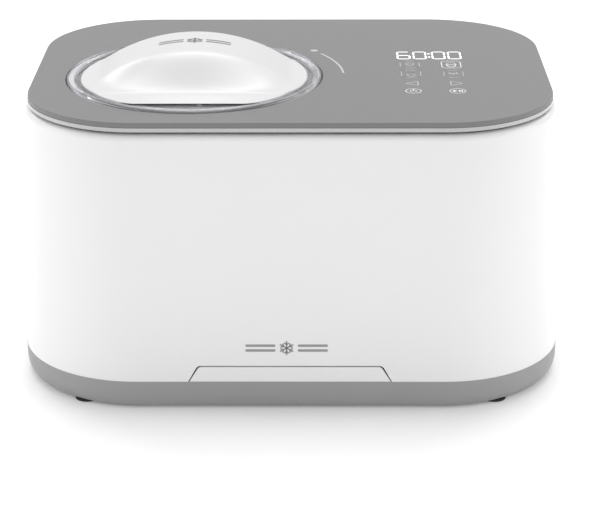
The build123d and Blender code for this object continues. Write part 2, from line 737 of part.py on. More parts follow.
with BuildPart() as drive_gear:
    drive_teeth = gear_face(DRIVE_TEETH, SHAFT_RADIUS, BOWL_X, BOWL_Y, HIGH_GEAR, DRIVE_PHASE)
    extrude(drive_teeth, amount=HIGH_GEAR_WIDTH)
    with BuildSketch(Plane.XY.offset(HIGH_GEAR)):
        with Locations((BOWL_X, BOWL_Y)):
            with PolarLocations(18.0, 6):
                Circle(5.0)
    extrude(amount=HIGH_GEAR_WIDTH, mode=Mode.SUBTRACT)
    with BuildSketch(Plane.XY.offset(GEARBOX_FLOOR + 7.2)):
        with Locations((BOWL_X, BOWL_Y)):
            Circle(8.0)
            Circle(SHAFT_RADIUS, mode=Mode.SUBTRACT)
    extrude(amount=HIGH_GEAR - GEARBOX_FLOOR - 7.2)
save(drive_gear, "drive_gear")

with BuildPart() as idler_gear:
    extrude(gear_face(IDLER_LARGE_TEETH, IDLER_PIN + RUNNING, IDLER_X, IDLER_Y, LOW_GEAR, IDLER_LARGE_PHASE),
            amount=LOW_GEAR_WIDTH)
    with BuildSketch(Plane.XY.offset(LOW_GEAR)):
        with Locations((IDLER_X, IDLER_Y)):
            with PolarLocations(19.0, 6):
                Circle(5.0)
    extrude(amount=LOW_GEAR_WIDTH, mode=Mode.SUBTRACT)
    with BuildSketch(Plane.XY.offset(LOW_GEAR + LOW_GEAR_WIDTH)):
        with Locations((IDLER_X, IDLER_Y)):
            Circle(6.0)
            Circle(IDLER_PIN + RUNNING, mode=Mode.SUBTRACT)
    extrude(amount=HIGH_GEAR - LOW_GEAR - LOW_GEAR_WIDTH)
    extrude(gear_face(IDLER_SMALL_TEETH, IDLER_PIN + RUNNING, IDLER_X, IDLER_Y, HIGH_GEAR, IDLER_SMALL_PHASE),
            amount=HIGH_GEAR_WIDTH)
save(idler_gear, "idler_gear")

with BuildPart() as idler_pin:
    with BuildSketch(Plane.XY.offset(GEARBOX_FLOOR)):
        with Locations((IDLER_X, IDLER_Y)):
            Circle(IDLER_PIN)
    extrude(amount=GEARBOX_ROOF - GEARBOX_FLOOR - AIR)
save(idler_pin, "idler_pin")

MOTOR_BOTTOM = 9.0
MOTOR_RADIUS = 28.0
with BuildPart() as motor_can:
    revolve(
        half_section(
            [
                (MOTOR_PIN + 0.06, MOTOR_BOTTOM),
                (MOTOR_RADIUS, MOTOR_BOTTOM),
                (MOTOR_RADIUS, GEARBOX_FLOOR),
                (MOTOR_PIN + 0.06, GEARBOX_FLOOR),
                (MOTOR_PIN + 0.06, GEARBOX_FLOOR - 3.0),
                (24.0, GEARBOX_FLOOR - 3.0),
                (24.0, MOTOR_BOTTOM + 2.0),
                (MOTOR_PIN + 0.06, MOTOR_BOTTOM + 2.0),
            ],
            MOTOR_X,
            MOTOR_Y,
        ),
        axis=Axis((MOTOR_X, MOTOR_Y, 0), (0, 0, 1)),
    )
    fillet(motor_can.edges().filter_by(GeomType.CIRCLE).group_by(Axis.Z)[0].sort_by(SortBy.RADIUS)[-1], 1.5)
save(motor_can, "motor_can")

with BuildPart() as motor_rotor:
    with BuildSketch(Plane.XY.offset(MOTOR_BOTTOM + 0.5)):
        with Locations((MOTOR_X, MOTOR_Y)):
            Circle(MOTOR_PIN)
    extrude(amount=LOW_GEAR + LOW_GEAR_WIDTH + 3.0 - MOTOR_BOTTOM)
    with BuildSketch(Plane.XY.offset(MOTOR_BOTTOM + 5.0)):
        with Locations((MOTOR_X, MOTOR_Y)):
            Circle(21.0)
    extrude(amount=24.0)
save(motor_rotor, "motor_rotor")

with BuildPart() as motor_pinion:
    extrude(gear_face(MOTOR_TEETH, MOTOR_PIN, MOTOR_X, MOTOR_Y, LOW_GEAR - 0.5, MOTOR_PHASE),
            amount=LOW_GEAR_WIDTH + 1.0)
save(motor_pinion, "motor_pinion")

# ---------------------------------------------------------------- removable bowl and paddle
BOWL_OUTER = BOWL_INNER + BOWL_WALL
BOWL_POST_INNER = 10.6
BOWL_POST_OUTER = 12.2
BOWL_POST_TOP = 146.0
RIM_RADIUS = 88.5
BAIL_RADIUS = 2.0

with BuildPart() as ice_bowl:
    revolve(
        half_section(
            [
                (BOWL_POST_INNER, BOWL_FLOOR - BOWL_WALL),
                (BOWL_OUTER - 3.6, BOWL_FLOOR - BOWL_WALL),
                (BOWL_OUTER, BOWL_FLOOR + 2.1),
                (BOWL_OUTER, LEDGE_TOP + AIR),
                (RIM_RADIUS, LEDGE_TOP + AIR),
                (RIM_RADIUS, BOWL_RIM_TOP),
                (BOWL_INNER, BOWL_RIM_TOP),
                (BOWL_INNER, BOWL_FLOOR + 2.8),
                (BOWL_INNER - 2.8, BOWL_FLOOR),
                (BOWL_POST_OUTER, BOWL_FLOOR),
                (BOWL_POST_OUTER, BOWL_POST_TOP),
                (BOWL_POST_INNER, BOWL_POST_TOP),
            ]
        ),
        axis=BOWL_AXIS,
    )
    for side in (-1, 1):
        with BuildSketch(Plane.XY.offset(BOWL_RIM_TOP)):
            with Locations((BOWL_X + side * 84.6, BOWL_Y)):
                RectangleRounded(3.4, 9.0, 1.0)
        extrude(amount=5.0)
        with BuildSketch(Plane.YZ.offset(BOWL_X + side * 82.0)):
            with Locations((BOWL_Y, BOWL_RIM_TOP + 2.6)):
                Circle(1.3)
        extrude(amount=side * 6.0, mode=Mode.SUBTRACT)
save(ice_bowl, "ice_bowl")

BAIL_RING = 89.9
with BuildPart() as bowl_bail:
    with BuildLine(Plane((BOWL_X, BOWL_Y, BOWL_RIM_TOP + 2.6))) as bail_line:
        ThreePointArc((-BAIL_RING, 0.0), (0.0, BAIL_RING), (BAIL_RING, 0.0))
    bail_path = bail_line.edges()[0]
    with BuildSketch(Plane(bail_path @ 0, z_dir=bail_path % 0)):
        Circle(BAIL_RADIUS)
    sweep(path=bail_path)
    for side in (-1, 1):
        with BuildSketch(Plane.YZ.offset(BOWL_X + side * BAIL_RING)):
            with Locations((BOWL_Y, BOWL_RIM_TOP + 2.6)):
                Circle(1.1)
        extrude(amount=-side * 7.8)
save(bowl_bail, "bowl_bail")

HUB_INNER = 12.9
HUB_OUTER = 15.6
HUB_BOTTOM = BOWL_FLOOR + 1.2
HUB_TOP = 176.0
BLADE_REACH = 76.6
BLADE_TOP = 196.0
BLADE_WIDTH = 3.2
BLADE_COUNT = 3
with BuildPart() as paddle:
    for blade in range(BLADE_COUNT):
        blade_angle = 90.0 + blade * 360.0 / BLADE_COUNT
        blade_plane = Plane(
            origin=(BOWL_X, BOWL_Y, 0),
            x_dir=(cos(radians(blade_angle)), sin(radians(blade_angle)), 0),
            z_dir=(sin(radians(blade_angle)), -cos(radians(blade_angle)), 0),
        )
        with BuildSketch(blade_plane):
            with BuildLine():
                Polyline(
                    (8.0, HUB_BOTTOM),
                    (BLADE_REACH - 6.0, HUB_BOTTOM),
                    (BLADE_REACH, HUB_BOTTOM + 6.0),
                    (BLADE_REACH, BLADE_TOP),
                    (BLADE_REACH - 12.0, BLADE_TOP),
                    (8.0, HUB_TOP - 12.0),
                    close=True,
                )
            make_face()
            with BuildLine():
                Polyline(
                    (24.0, HUB_BOTTOM + 12.0),
                    (BLADE_REACH - 14.0, HUB_BOTTOM + 12.0),
                    (BLADE_REACH - 12.0, HUB_BOTTOM + 18.0),
                    (BLADE_REACH - 12.0, BLADE_TOP - 20.0),
                    (24.0, HUB_TOP - 26.0),
                    close=True,
                )
            make_face(mode=Mode.SUBTRACT)
        extrude(amount=BLADE_WIDTH / 2, both=True)
        with BuildSketch(blade_plane):
            with BuildLine():
                Polyline(
                    (40.0, HUB_BOTTOM + 8.0),
                    (45.0, HUB_BOTTOM + 8.0),
                    (53.0, BLADE_TOP - 19.0),
                    (48.0, BLADE_TOP - 19.0),
                    close=True,
                )
            make_face()
        extrude(amount=BLADE_WIDTH / 2, both=True)
    with BuildSketch(Plane.XY.offset(HUB_BOTTOM)):
        with Locations((BOWL_X, BOWL_Y)):
            Circle(HUB_OUTER)
    extrude(amount=HUB_TOP - HUB_BOTTOM)
    fillet(paddle.edges().filter_by(GeomType.CIRCLE).group_by(Axis.Z)[-1], 4.0)
    with BuildSketch(Plane.XY.offset(HUB_BOTTOM)):
        with Locations((BOWL_X, BOWL_Y)):
            Circle(HUB_INNER)
    extrude(amount=BOWL_POST_TOP + 2.0 - HUB_BOTTOM, mode=Mode.SUBTRACT)
    with BuildSketch(Plane.XY.offset(BOWL_POST_TOP)):
        with Locations((BOWL_X, BOWL_Y)):
            Circle(SHAFT_RADIUS + 0.3)
    extrude(amount=HEX_BOTTOM + 0.5 - BOWL_POST_TOP, mode=Mode.SUBTRACT)
    with BuildSketch(Plane.XY.offset(HEX_BOTTOM)):
        with Locations((BOWL_X, BOWL_Y)):
            RegularPolygon(HEX_FLATS / 2 + 0.1, 6, major_radius=False)
    extrude(amount=SHAFT_TOP + 0.4 - HEX_BOTTOM, mode=Mode.SUBTRACT)
save(paddle, "paddle")

with BuildPart() as paddle_washer:
    with BuildSketch(Plane.XY.offset(BOWL_FLOOR + AIR)):
        with Locations((BOWL_X, BOWL_Y)):
            Circle(HUB_OUTER)
            Circle(BOWL_POST_OUTER + 0.4, mode=Mode.SUBTRACT)
    extrude(amount=1.0)
save(paddle_washer, "paddle_washer")

# ---------------------------------------------------------------- lid
RIM_TOP = DECK_TOP + 1.7
RIM_INNER_TOP = DECK_TOP + 1.2
DISC_TOP = DECK_TOP - 1.5
DISC_BOTTOM = DISC_TOP - 2.4
FLANGE_BOTTOM = COLLAR_TOP + AIR
SKIRT_OUTER = 76.2
SKIRT_INNER = 74.0
SKIRT_BOTTOM = 214.0
GUIDE_OUTER = 94.4
GUIDE_INNER = 92.4
TAB_REACH = 97.6

with BuildPart() as clear_lid:
    revolve(
        half_section(
            [
                (0.0, DISC_BOTTOM),
                (SKIRT_INNER, DISC_BOTTOM),
                (SKIRT_INNER, SKIRT_BOTTOM),
                (SKIRT_OUTER, SKIRT_BOTTOM),
                (SKIRT_OUTER, DISC_BOTTOM),
                (GUIDE_INNER, DISC_BOTTOM),
                (GUIDE_INNER, TAB_BOTTOM),
                (GUIDE_OUTER, TAB_BOTTOM),
                (GUIDE_OUTER, FLANGE_BOTTOM),
                (LID_OUTER, FLANGE_BOTTOM),
                (LID_OUTER, RIM_TOP - 1.4),
                (LID_OUTER - 1.2, RIM_TOP),
                (LID_RING_INNER + 1.0, RIM_INNER_TOP),
                (LID_RING_INNER, RIM_INNER_TOP - 0.9),
                (LID_RING_INNER, DISC_TOP),
                (0.0, DISC_TOP),
            ]
        ),
        axis=BOWL_AXIS,
    )
    for tab_angle in TAB_ANGLES:
        first = radians(tab_angle - TAB_HALF)
        last = radians(tab_angle + TAB_HALF)
        middle = radians(tab_angle)
        with BuildSketch(Plane((BOWL_X, BOWL_Y, TAB_BOTTOM))) as tab:
            with BuildLine():
                inner_first = (93.0 * cos(first), 93.0 * sin(first))
                inner_last = (93.0 * cos(last), 93.0 * sin(last))
                outer_first = (TAB_REACH * cos(first), TAB_REACH * sin(first))
                outer_middle = (TAB_REACH * cos(middle), TAB_REACH * sin(middle))
                outer_last = (TAB_REACH * cos(last), TAB_REACH * sin(last))
                Line(inner_first, outer_first)
                ThreePointArc(outer_first, outer_middle, outer_last)
                Line(outer_last, inner_last)
                Line(inner_last, inner_first)
            make_face()
        extrude(amount=4.0)
save(clear_lid, "clear_lid")

with BuildPart() as lid_gasket:
    revolve(
        half_section(
            [
                (SKIRT_OUTER, DISC_BOTTOM - 5.0),
                (SKIRT_OUTER + 4.4, DISC_BOTTOM - 5.0),
                (SKIRT_OUTER + 5.4, DISC_BOTTOM - 3.6),
                (SKIRT_OUTER + 4.4, DISC_BOTTOM),
                (SKIRT_OUTER, DISC_BOTTOM),
            ]
        ),
        axis=BOWL_AXIS,
    )
save(lid_gasket, "lid_gasket")

CAP_TOP = DECK_TOP + 0.3
CAP_PLATE = CAP_TOP - DISC_TOP
GRIP_WALL = 2.8
GRIP_SIDE = 14.0


ARCH_HALF = sqrt(ARCH_RADIUS**2 - (ARCH_RADIUS - ARCH_HEIGHT) ** 2)
SLOPE_START = -54.0         # the front face is lofted from here
SLOPE_END = -8.0            # to here, where the arch has its full height
SLOPE_STEPS = 10
SLOPE_SOFTNESS = 2.0


def grip_rise(y):
    """Height of the grip's arch above its plate: a straight slope with a soft foot and a soft ridge."""
    line = ARCH_HEIGHT * (y - ARCH_FOOT) / (ARCH_FRONT - ARCH_FOOT)
    foot = 1 + exp(line / SLOPE_SOFTNESS)
    ridge = 1 + exp((line - ARCH_HEIGHT) / SLOPE_SOFTNESS)
    return SLOPE_SOFTNESS * log(foot / ridge)


def arch_section(y, rise, half_width, height):
    """Segment of a circle in the vertical plane at y from the lid's centre."""
    plane = Plane(origin=(BOWL_X, BOWL_Y + y, height), x_dir=(1, 0, 0), z_dir=(0, -1, 0))
    with BuildSketch(plane) as section:
        with BuildLine():
            ThreePointArc((-half_width, 0.0), (0.0, rise), (half_width, 0.0))
            Line((half_width, 0.0), (-half_width, 0.0))
        make_face()
    return section.sketch


def arch_body(thickness, side, height):
    """Sections of the sloping front and the face of the back, drawn in by a thickness."""
    slope_length = SLOPE_END - SLOPE_START
    places = [SLOPE_START + slope_length * step / SLOPE_STEPS for step in range(SLOPE_STEPS + 1)]
    lift = CAP_TOP - height - thickness
    rises = [(y, grip_rise(y) + lift) for y in places if grip_rise(y) > 3 * thickness]
    slope = [arch_section(y, rise, ARCH_HALF - side, height) for y, rise in rises]
    back = arch_section(CAP_BACK, rises[-1][1], ARCH_HALF - side, height)
    return slope, back


with BuildPart() as lid_grip:
    slope, back = arch_body(0.0, 0.0, CAP_TOP - 0.3)
    loft(slope)
    extrude(back, amount=CAP_BACK - SLOPE_END)
    with BuildSketch(Plane((BOWL_X, BOWL_Y, DISC_TOP))) as plate:
        Circle(CAP_RADIUS)
        with Locations((0.0, (CAP_FRONT + CAP_BACK) / 2)):
            Rectangle(2 * CAP_RADIUS, CAP_BACK - CAP_FRONT, mode=Mode.INTERSECT)
        fillet(plate.vertices().group_by(Axis.Y)[0], 5.0)
    extrude(amount=CAP_PLATE)
    slope, back = arch_body(GRIP_WALL, GRIP_SIDE, DISC_TOP)
    loft(slope, mode=Mode.SUBTRACT)
    extrude(back, amount=CAP_BACK - SLOPE_END, mode=Mode.SUBTRACT)
save(lid_grip, "lid_grip")

# ---------------------------------------------------------------- compressor
SHELL_BOTTOM = 24.0
SEAM = 96.0
SHELL_TOP = 168.0
STEEL = 3.0


def compressor_outline(height, grow):
    """Level outline of the compressor's welded shell."""
    with BuildSketch(Plane.XY.offset(height)) as outline:
        with Locations((COMPRESSOR_X, COMPRESSOR_Y)):
            RectangleRounded(128.0 + 2 * grow, 112.0 + 2 * grow, 52.0 + grow)
    return outline.sketch


with BuildPart() as compressor_lower:
    extrude(compressor_outline(SHELL_BOTTOM, 0.0), amount=SEAM - SHELL_BOTTOM)
    fillet(compressor_lower.edges().group_by(Axis.Z)[0], 20.0)
    offset(amount=-STEEL, openings=compressor_lower.faces().sort_by(Axis.Z)[-1])
save(compressor_lower, "compressor_lower")

with BuildPart() as compressor_upper:
    extrude(compressor_outline(SEAM, 0.0), amount=SHELL_TOP - SEAM)
    fillet(compressor_upper.edges().group_by(Axis.Z)[-1], 20.0)
    offset(amount=-STEEL, openings=compressor_upper.faces().sort_by(Axis.Z)[0])
    extrude(compressor_outline(SEAM - 4.0, 3.0), amount=8.0)
    extrude(compressor_outline(SEAM - 4.0, 0.05), amount=4.0, mode=Mode.SUBTRACT)
    extrude(compressor_outline(SEAM, -STEEL), amount=4.0, mode=Mode.SUBTRACT)
save(compressor_upper, "compressor_upper")

with BuildPart() as compressor_core:
    with BuildSketch(Plane.XY.offset(44.0)):
        with Locations((COMPRESSOR_X, COMPRESSOR_Y)):
            Circle(40.0)
    extrude(amount=46.0)
    with BuildSketch(Plane.XY.offset(90.0)):
        with Locations((COMPRESSOR_X, COMPRESSOR_Y)):
            RectangleRounded(72.0, 58.0, 10.0)
    extrude(amount=30.0)
    with BuildSketch(Plane.XY.offset(SHELL_BOTTOM + STEEL)):
        with Locations((COMPRESSOR_X, COMPRESSOR_Y)):
            with PolarLocations(28.0, 4, start_angle=45.0):
                Circle(6.0)
    extrude(amount=44.0 - SHELL_BOTTOM - STEEL)
save(compressor_core, "compressor_core")

PLATE_THICK = 3.0
PLATE_BOTTOM = SHELL_BOTTOM - PLATE_THICK
with BuildPart() as compressor_plate:
    with BuildSketch(Plane.XY.offset(PLATE_BOTTOM)):
        with Locations((COMPRESSOR_X, COMPRESSOR_Y)):
            RectangleRounded(138.0, 114.0, 12.0)
        with Locations(*COMPRESSOR_BOLTS):
            Circle(6.2, mode=Mode.SUBTRACT)
    extrude(amount=PLATE_THICK)
save(compressor_plate, "compressor_plate")

with BuildPart() as compressor_grommets:
    for bottom, height, radius in ((COMPRESSOR_BOSS, 8.9, 8.6), (20.9, 3.2, 6.0), (24.1, 3.5, 8.2)):
        with BuildSketch(Plane.XY.offset(bottom)):
            with Locations(*COMPRESSOR_BOLTS):
                Circle(radius)
                Circle(3.3, mode=Mode.SUBTRACT)
        extrude(amount=height)
save(compressor_grommets, "compressor_grommets")

with BuildPart() as compressor_bolts:
    with BuildSketch(Plane.XY.offset(BASE_FLOOR + 0.4)):
        with Locations(*COMPRESSOR_BOLTS):
            Circle(3.0)
    extrude(amount=27.8 - BASE_FLOOR)
    with BuildSketch(Plane.XY.offset(27.7)):
        with Locations(*COMPRESSOR_BOLTS):
            RegularPolygon(5.5, 6)
    extrude(amount=4.0)
save(compressor_bolts, "compressor_bolts")

with BuildPart() as terminal_cover:
    with BuildSketch(Plane.XY.offset(46.0)):
        with Locations((COMPRESSOR_X + 64.0 + 8.2, COMPRESSOR_Y)):
            RectangleRounded(15.0, 34.0, 3.0)
    extrude(amount=36.0)
    chamfer(terminal_cover.edges().group_by(Axis.Z)[-1], 1.5)
save(terminal_cover, "terminal_cover")

# ---------------------------------------------------------------- condenser and fan
TUBE_RADIUS = 3.1
ROW_PITCH = 12.0
ROWS = 8
ROW_BOTTOM = 50.0
COLUMN_NEAR = 97.0
COLUMN_FAR = 115.0
FIN_LEFT = 46.0
FIN_PITCH = 5.0
FIN_COUNT = 22
FIN_RIGHT = FIN_LEFT + FIN_PITCH * (FIN_COUNT - 1)
BEND_LEFT = FIN_LEFT - 9.0
BEND_RIGHT = FIN_RIGHT + 9.0
TUBE_END = BEND_LEFT - 4.0
ROW_TOP = ROW_BOTTOM + ROW_PITCH * (ROWS - 1)
ROW_PLACES = [(y, ROW_BOTTOM + ROW_PITCH * row) for row in range(ROWS) for y in (COLUMN_NEAR, COLUMN_FAR)]

condenser_route = [(TUBE_END, COLUMN_NEAR, ROW_TOP)]
for column, rows in ((COLUMN_NEAR, range(ROWS - 1, -1, -1)), (COLUMN_FAR, range(ROWS))):
    going_right = True
    for row in rows:
        row_height = ROW_BOTTOM + ROW_PITCH * row
        ends = (BEND_LEFT, BEND_RIGHT) if going_right else (BEND_RIGHT, BEND_LEFT)
        condenser_route += [(end, column, row_height) for end in ends]
        going_right = not going_right
condenser_route = [condenser_route[0]] + condenser_route[2:-1] + [(TUBE_END, COLUMN_FAR, ROW_TOP)]
tube(condenser_route, 5.5, TUBE_RADIUS, "condenser_tube")

with BuildPart() as condenser_fins:
    for fin in range(FIN_COUNT):
        with BuildSketch(Plane.YZ.offset(FIN_LEFT + FIN_PITCH * fin)):
            with Locations(((COLUMN_NEAR + COLUMN_FAR) / 2, (ROW_BOTTOM + ROW_TOP) / 2)):
                Rectangle(34.0, ROW_TOP - ROW_BOTTOM + 14.0)
            with Locations(*ROW_PLACES):
                Circle(TUBE_RADIUS + 0.1, mode=Mode.SUBTRACT)
        extrude(amount=0.5)
save(condenser_fins, "condenser_fins")

with BuildPart() as condenser_brackets:
    for bracket_x in (FIN_LEFT - 3.0, FIN_RIGHT + 2.0):
        with BuildSketch(Plane.YZ.offset(bracket_x)):
            with Locations(((COLUMN_NEAR + COLUMN_FAR) / 2, (BASE_FLOOR + ROW_TOP + 9.0) / 2)):
                Rectangle(38.0, ROW_TOP + 9.0 - BASE_FLOOR)
            with Locations(*ROW_PLACES):
                Circle(TUBE_RADIUS + 0.1, mode=Mode.SUBTRACT)
        extrude(amount=1.2)
save(condenser_brackets, "condenser_brackets")

FAN_FRONT = 56.0
FAN_DEPTH = 24.0
FAN_FRAME = 108.0
FAN_RING = 50.0
FAN_HUB = 18.0
BLADE_TIP = 47.0
FAN_BLADES = 7
FAN_PLANE = Plane.XZ.offset(-FAN_FRONT)
STRUT_DEPTH = 4.0

with BuildPart() as fan_shroud:
    with BuildSketch(FAN_PLANE):
        with Locations((FAN_X, FAN_Z)):
            RectangleRounded(FAN_FRAME, FAN_FRAME, 6.0)
            Circle(FAN_RING, mode=Mode.SUBTRACT)
    extrude(amount=-FAN_DEPTH)
    with BuildSketch(FAN_PLANE.offset(STRUT_DEPTH - FAN_DEPTH)):
        with Locations((FAN_X, FAN_Z)):
            with Locations(Rotation(0, 0, 45)):
                Rectangle(2 * FAN_RING + 4.0, 6.0)
            with Locations(Rotation(0, 0, -45)):
                Rectangle(2 * FAN_RING + 4.0, 6.0)
            Circle(FAN_HUB + 3.0)
            Circle(FAN_HUB, mode=Mode.SUBTRACT)
    extrude(amount=-STRUT_DEPTH)
    for leg in (-1, 1):
        with BuildSketch(Plane.XY.offset(BASE_FLOOR)):
            with Locations((FAN_X + leg * 42.0, FAN_FRONT + FAN_DEPTH / 2)):
                Rectangle(16.0, FAN_DEPTH)
        extrude(amount=FAN_Z - FAN_FRAME / 2 - BASE_FLOOR + 1.0)
save(fan_shroud, "fan_shroud")

with BuildPart() as fan_motor:
    with BuildSketch(Plane.XZ.offset(-74.0)):
        with Locations((FAN_X, FAN_Z)):
            Circle(FAN_HUB - 0.2)
    extrude(amount=-10.0)
    with BuildSketch(Plane.XZ.offset(-62.0)):
        with Locations((FAN_X, FAN_Z)):
            Circle(2.0)
    extrude(amount=-12.0)
save(fan_motor, "fan_motor")

with BuildPart() as fan_blade:
    with BuildSketch(Plane.XZ.offset(-59.0)):
        with Locations((FAN_X, FAN_Z)):
            Circle(FAN_HUB)
    extrude(amount=-14.4)
    fillet(fan_blade.edges().group_by(Axis.Y)[0], 2.0)
    for blade in range(FAN_BLADES):
        turn = 2 * pi * blade / FAN_BLADES
        radial = Vector(cos(turn), 0, sin(turn))
        around = Vector(-sin(turn), 0, cos(turn))
        sections = []
        for reach, chord, pitch in ((FAN_HUB - 2.0, 15.0, 38.0), (BLADE_TIP, 24.0, 24.0)):
            along = around * cos(radians(pitch)) + Vector(0, 1, 0) * sin(radians(pitch))
            centre = Vector(FAN_X, 66.2, FAN_Z) + radial * reach
            with BuildSketch(Plane(origin=centre, x_dir=along, z_dir=radial)) as blade_section:
                RectangleRounded(chord, 1.6, 0.7)
            sections.append(blade_section.sketch)
        loft(sections, ruled=True)
    with BuildSketch(Plane.XZ.offset(-61.0)):
        with Locations((FAN_X, FAN_Z)):
            Circle(2.0 + RUNNING)
    extrude(amount=-13.0, mode=Mode.SUBTRACT)
save(fan_blade, "fan_blade")

# ---------------------------------------------------------------- refrigerant lines
DRIER_X = 16.0
DRIER_Y = COLUMN_FAR
DRIER_BOTTOM = 52.0
DRIER_TOP = 112.0
LINE_RADIUS = 3.0
CAPILLARY_RADIUS = 1.2
COIL_SIDE = BOWL_X + COIL_RADIUS + COIL_TUBE + 0.1

with BuildPart() as filter_drier:
    revolve(
        half_section(
            [
                (0.0, DRIER_BOTTOM),
                (LINE_RADIUS + 0.5, DRIER_BOTTOM),
                (9.0, DRIER_BOTTOM + 9.0),
                (9.0, DRIER_TOP - 9.0),
                (LINE_RADIUS + 0.5, DRIER_TOP),
                (0.0, DRIER_TOP),
            ],
            DRIER_X,
            DRIER_Y,
        ),
        axis=Axis((DRIER_X, DRIER_Y, 0), (0, 0, 1)),
    )
save(filter_drier, "filter_drier")

tube(
    [(TUBE_END, DRIER_Y, ROW_TOP), (DRIER_X, DRIER_Y, ROW_TOP), (DRIER_X, DRIER_Y, DRIER_TOP)],
    7.0, LINE_RADIUS, "liquid_line",
)
tube(
    [
        (DRIER_X, DRIER_Y, DRIER_BOTTOM),
        (DRIER_X, DRIER_Y, 36.0),
        (39.0, 48.0, 36.0),
        (39.0, BOWL_Y, 40.0),
        (39.0, BOWL_Y, COIL_BOTTOM),
        (COIL_SIDE, BOWL_Y, COIL_BOTTOM),
    ],
    7.0, CAPILLARY_RADIUS, "capillary_tube",
)
tube(
    [(COIL_SIDE, BOWL_Y, COIL_ENDS[1]), (86.0, BOWL_Y, COIL_ENDS[1]), (86.0, BOWL_Y, SHELL_TOP)],
    12.0, LINE_RADIUS, "suction_line",
)
tube(
    [
        (140.0, -34.0, SHELL_TOP),
        (140.0, -34.0, 190.0),
        (140.0, 40.0, 190.0),
        (18.0, COLUMN_NEAR, 190.0),
        (18.0, COLUMN_NEAR, ROW_TOP),
        (TUBE_END, COLUMN_NEAR, ROW_TOP),
    ],
    7.0, LINE_RADIUS - 0.5, "discharge_line",
)

# ---------------------------------------------------------------- electrics
POWER_X = -88.0
POWER_Y = 117.0
POWER_WIDTH = 112.0
POWER_DEPTH = 46.0
POWER_BOTTOM = 14.0
POWER_TOP = POWER_BOTTOM + 1.6
POWER_HOLES = [(POWER_X + sx * 51.0, POWER_Y + sy * 18.0) for sx in (-1, 1) for sy in (-1, 1)]

with BuildPart() as power_board:
    with BuildSketch(Plane.XY.offset(POWER_BOTTOM)):
        with Locations((POWER_X, POWER_Y)):
            RectangleRounded(POWER_WIDTH, POWER_DEPTH, 2.0)
        with Locations(*POWER_HOLES):
            Circle(1.8, mode=Mode.SUBTRACT)
    extrude(amount=POWER_TOP - POWER_BOTTOM)
save(power_board, "power_board")

with BuildPart() as board_standoffs:
    with BuildSketch(Plane.XY.offset(BASE_FLOOR)):
        with Locations(*POWER_HOLES):
            Circle(3.4)
    extrude(amount=POWER_BOTTOM - BASE_FLOOR)
    with BuildSketch(Plane.XY.offset(POWER_BOTTOM)):
        with Locations(*POWER_HOLES):
            Circle(1.7)
    extrude(amount=3.2)
save(board_standoffs, "board_standoffs")

with BuildPart() as power_components:
    with BuildSketch(Plane.XY.offset(POWER_TOP)):
        with Locations((POWER_X - 30.0, POWER_Y - 6.0)):
            RectangleRounded(30.0, 24.0, 1.5)
        with Locations((POWER_X + 8.0, POWER_Y + 8.0)):
            RectangleRounded(20.0, 15.0, 1.0)
        with Locations((POWER_X + 32.0, POWER_Y - 8.0)):
            Circle(8.0)
    extrude(amount=20.0)
    fillet(power_components.edges().group_by(Axis.Z)[-1], 0.8)
save(power_components, "power_components")

INLET_BACK = 127.0          # inner end of the inlet's body
SOCKET_FLOOR = 131.0
PIN_BACK = 130.0
PIN_LENGTH = 17.0
INLET_FLANGE = 1.5
PIN_PLACES = ((0.0, 2.0), (-7.0, -2.0), (7.0, -2.0))
with BuildPart() as power_inlet:
    with BuildSketch(Plane.XZ.offset(-INLET_BACK)):
        with Locations((INLET_X, INLET_Z)):
            RectangleRounded(27.0, 20.0, 2.0)
    extrude(amount=-(INLET_SEAT - INLET_BACK))
    with BuildSketch(Plane.XZ.offset(-INLET_SEAT)):
        with Locations((INLET_X, INLET_Z)):
            RectangleRounded(50.0, 25.0, 4.0)
    extrude(amount=-INLET_FLANGE)
    with BuildSketch(Plane.XZ.offset(-SOCKET_FLOOR)):
        with Locations((INLET_X, INLET_Z)):
            RectangleRounded(23.0, 16.0, 3.0)
    extrude(amount=-(INLET_SEAT + INLET_FLANGE - SOCKET_FLOOR), mode=Mode.SUBTRACT)
    with BuildSketch(Plane.XZ.offset(-PIN_BACK)):
        with Locations(*[(INLET_X + x, INLET_Z + z) for x, z in PIN_PLACES]):
            Rectangle(2.0, 4.0)
    extrude(amount=-PIN_LENGTH)
save(power_inlet, "power_inlet")

tube(
    [
        (92.0, 34.0, BODY_TOP + FRAME_PLATE),
        (92.0, 34.0, 204.0),
        (-10.0, 128.0, 200.0),
        (-40.0, 128.0, 120.0),
        (-38.0, 122.0, 40.0),
        (-38.0, 122.0, POWER_TOP),
    ],
    8.0, 2.4, "control_cable",
)

BASE_SCREW_HEAD = 4.0
BASE_SCREW_HEAD_THICK = 0.8
BASE_SCREW_SHANK = 1.9
BASE_SCREW_LENGTH = 20.0
with BuildPart() as base_screws:
    with BuildSketch(Plane.XY.offset(FOOT_GAP - BASE_SCREW_HEAD_THICK)):
        with Locations(*BASE_SCREWS):
            Circle(BASE_SCREW_HEAD)
    extrude(amount=BASE_SCREW_HEAD_THICK)
    with BuildSketch(Plane.XY.offset(FOOT_GAP)):
        with Locations(*BASE_SCREWS):
            Circle(BASE_SCREW_SHANK)
    extrude(amount=BASE_SCREW_LENGTH)
save(base_screws, "base_screws")
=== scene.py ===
"""Looks of a countertop ice cream maker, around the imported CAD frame.

Metres, +Z up, front faces -Y. The outlines of the marks and of the grip are in millimetres,
and MM turns them into metres.
"""
import json
import math

import bmesh
import bpy
from mathutils import Matrix, Vector


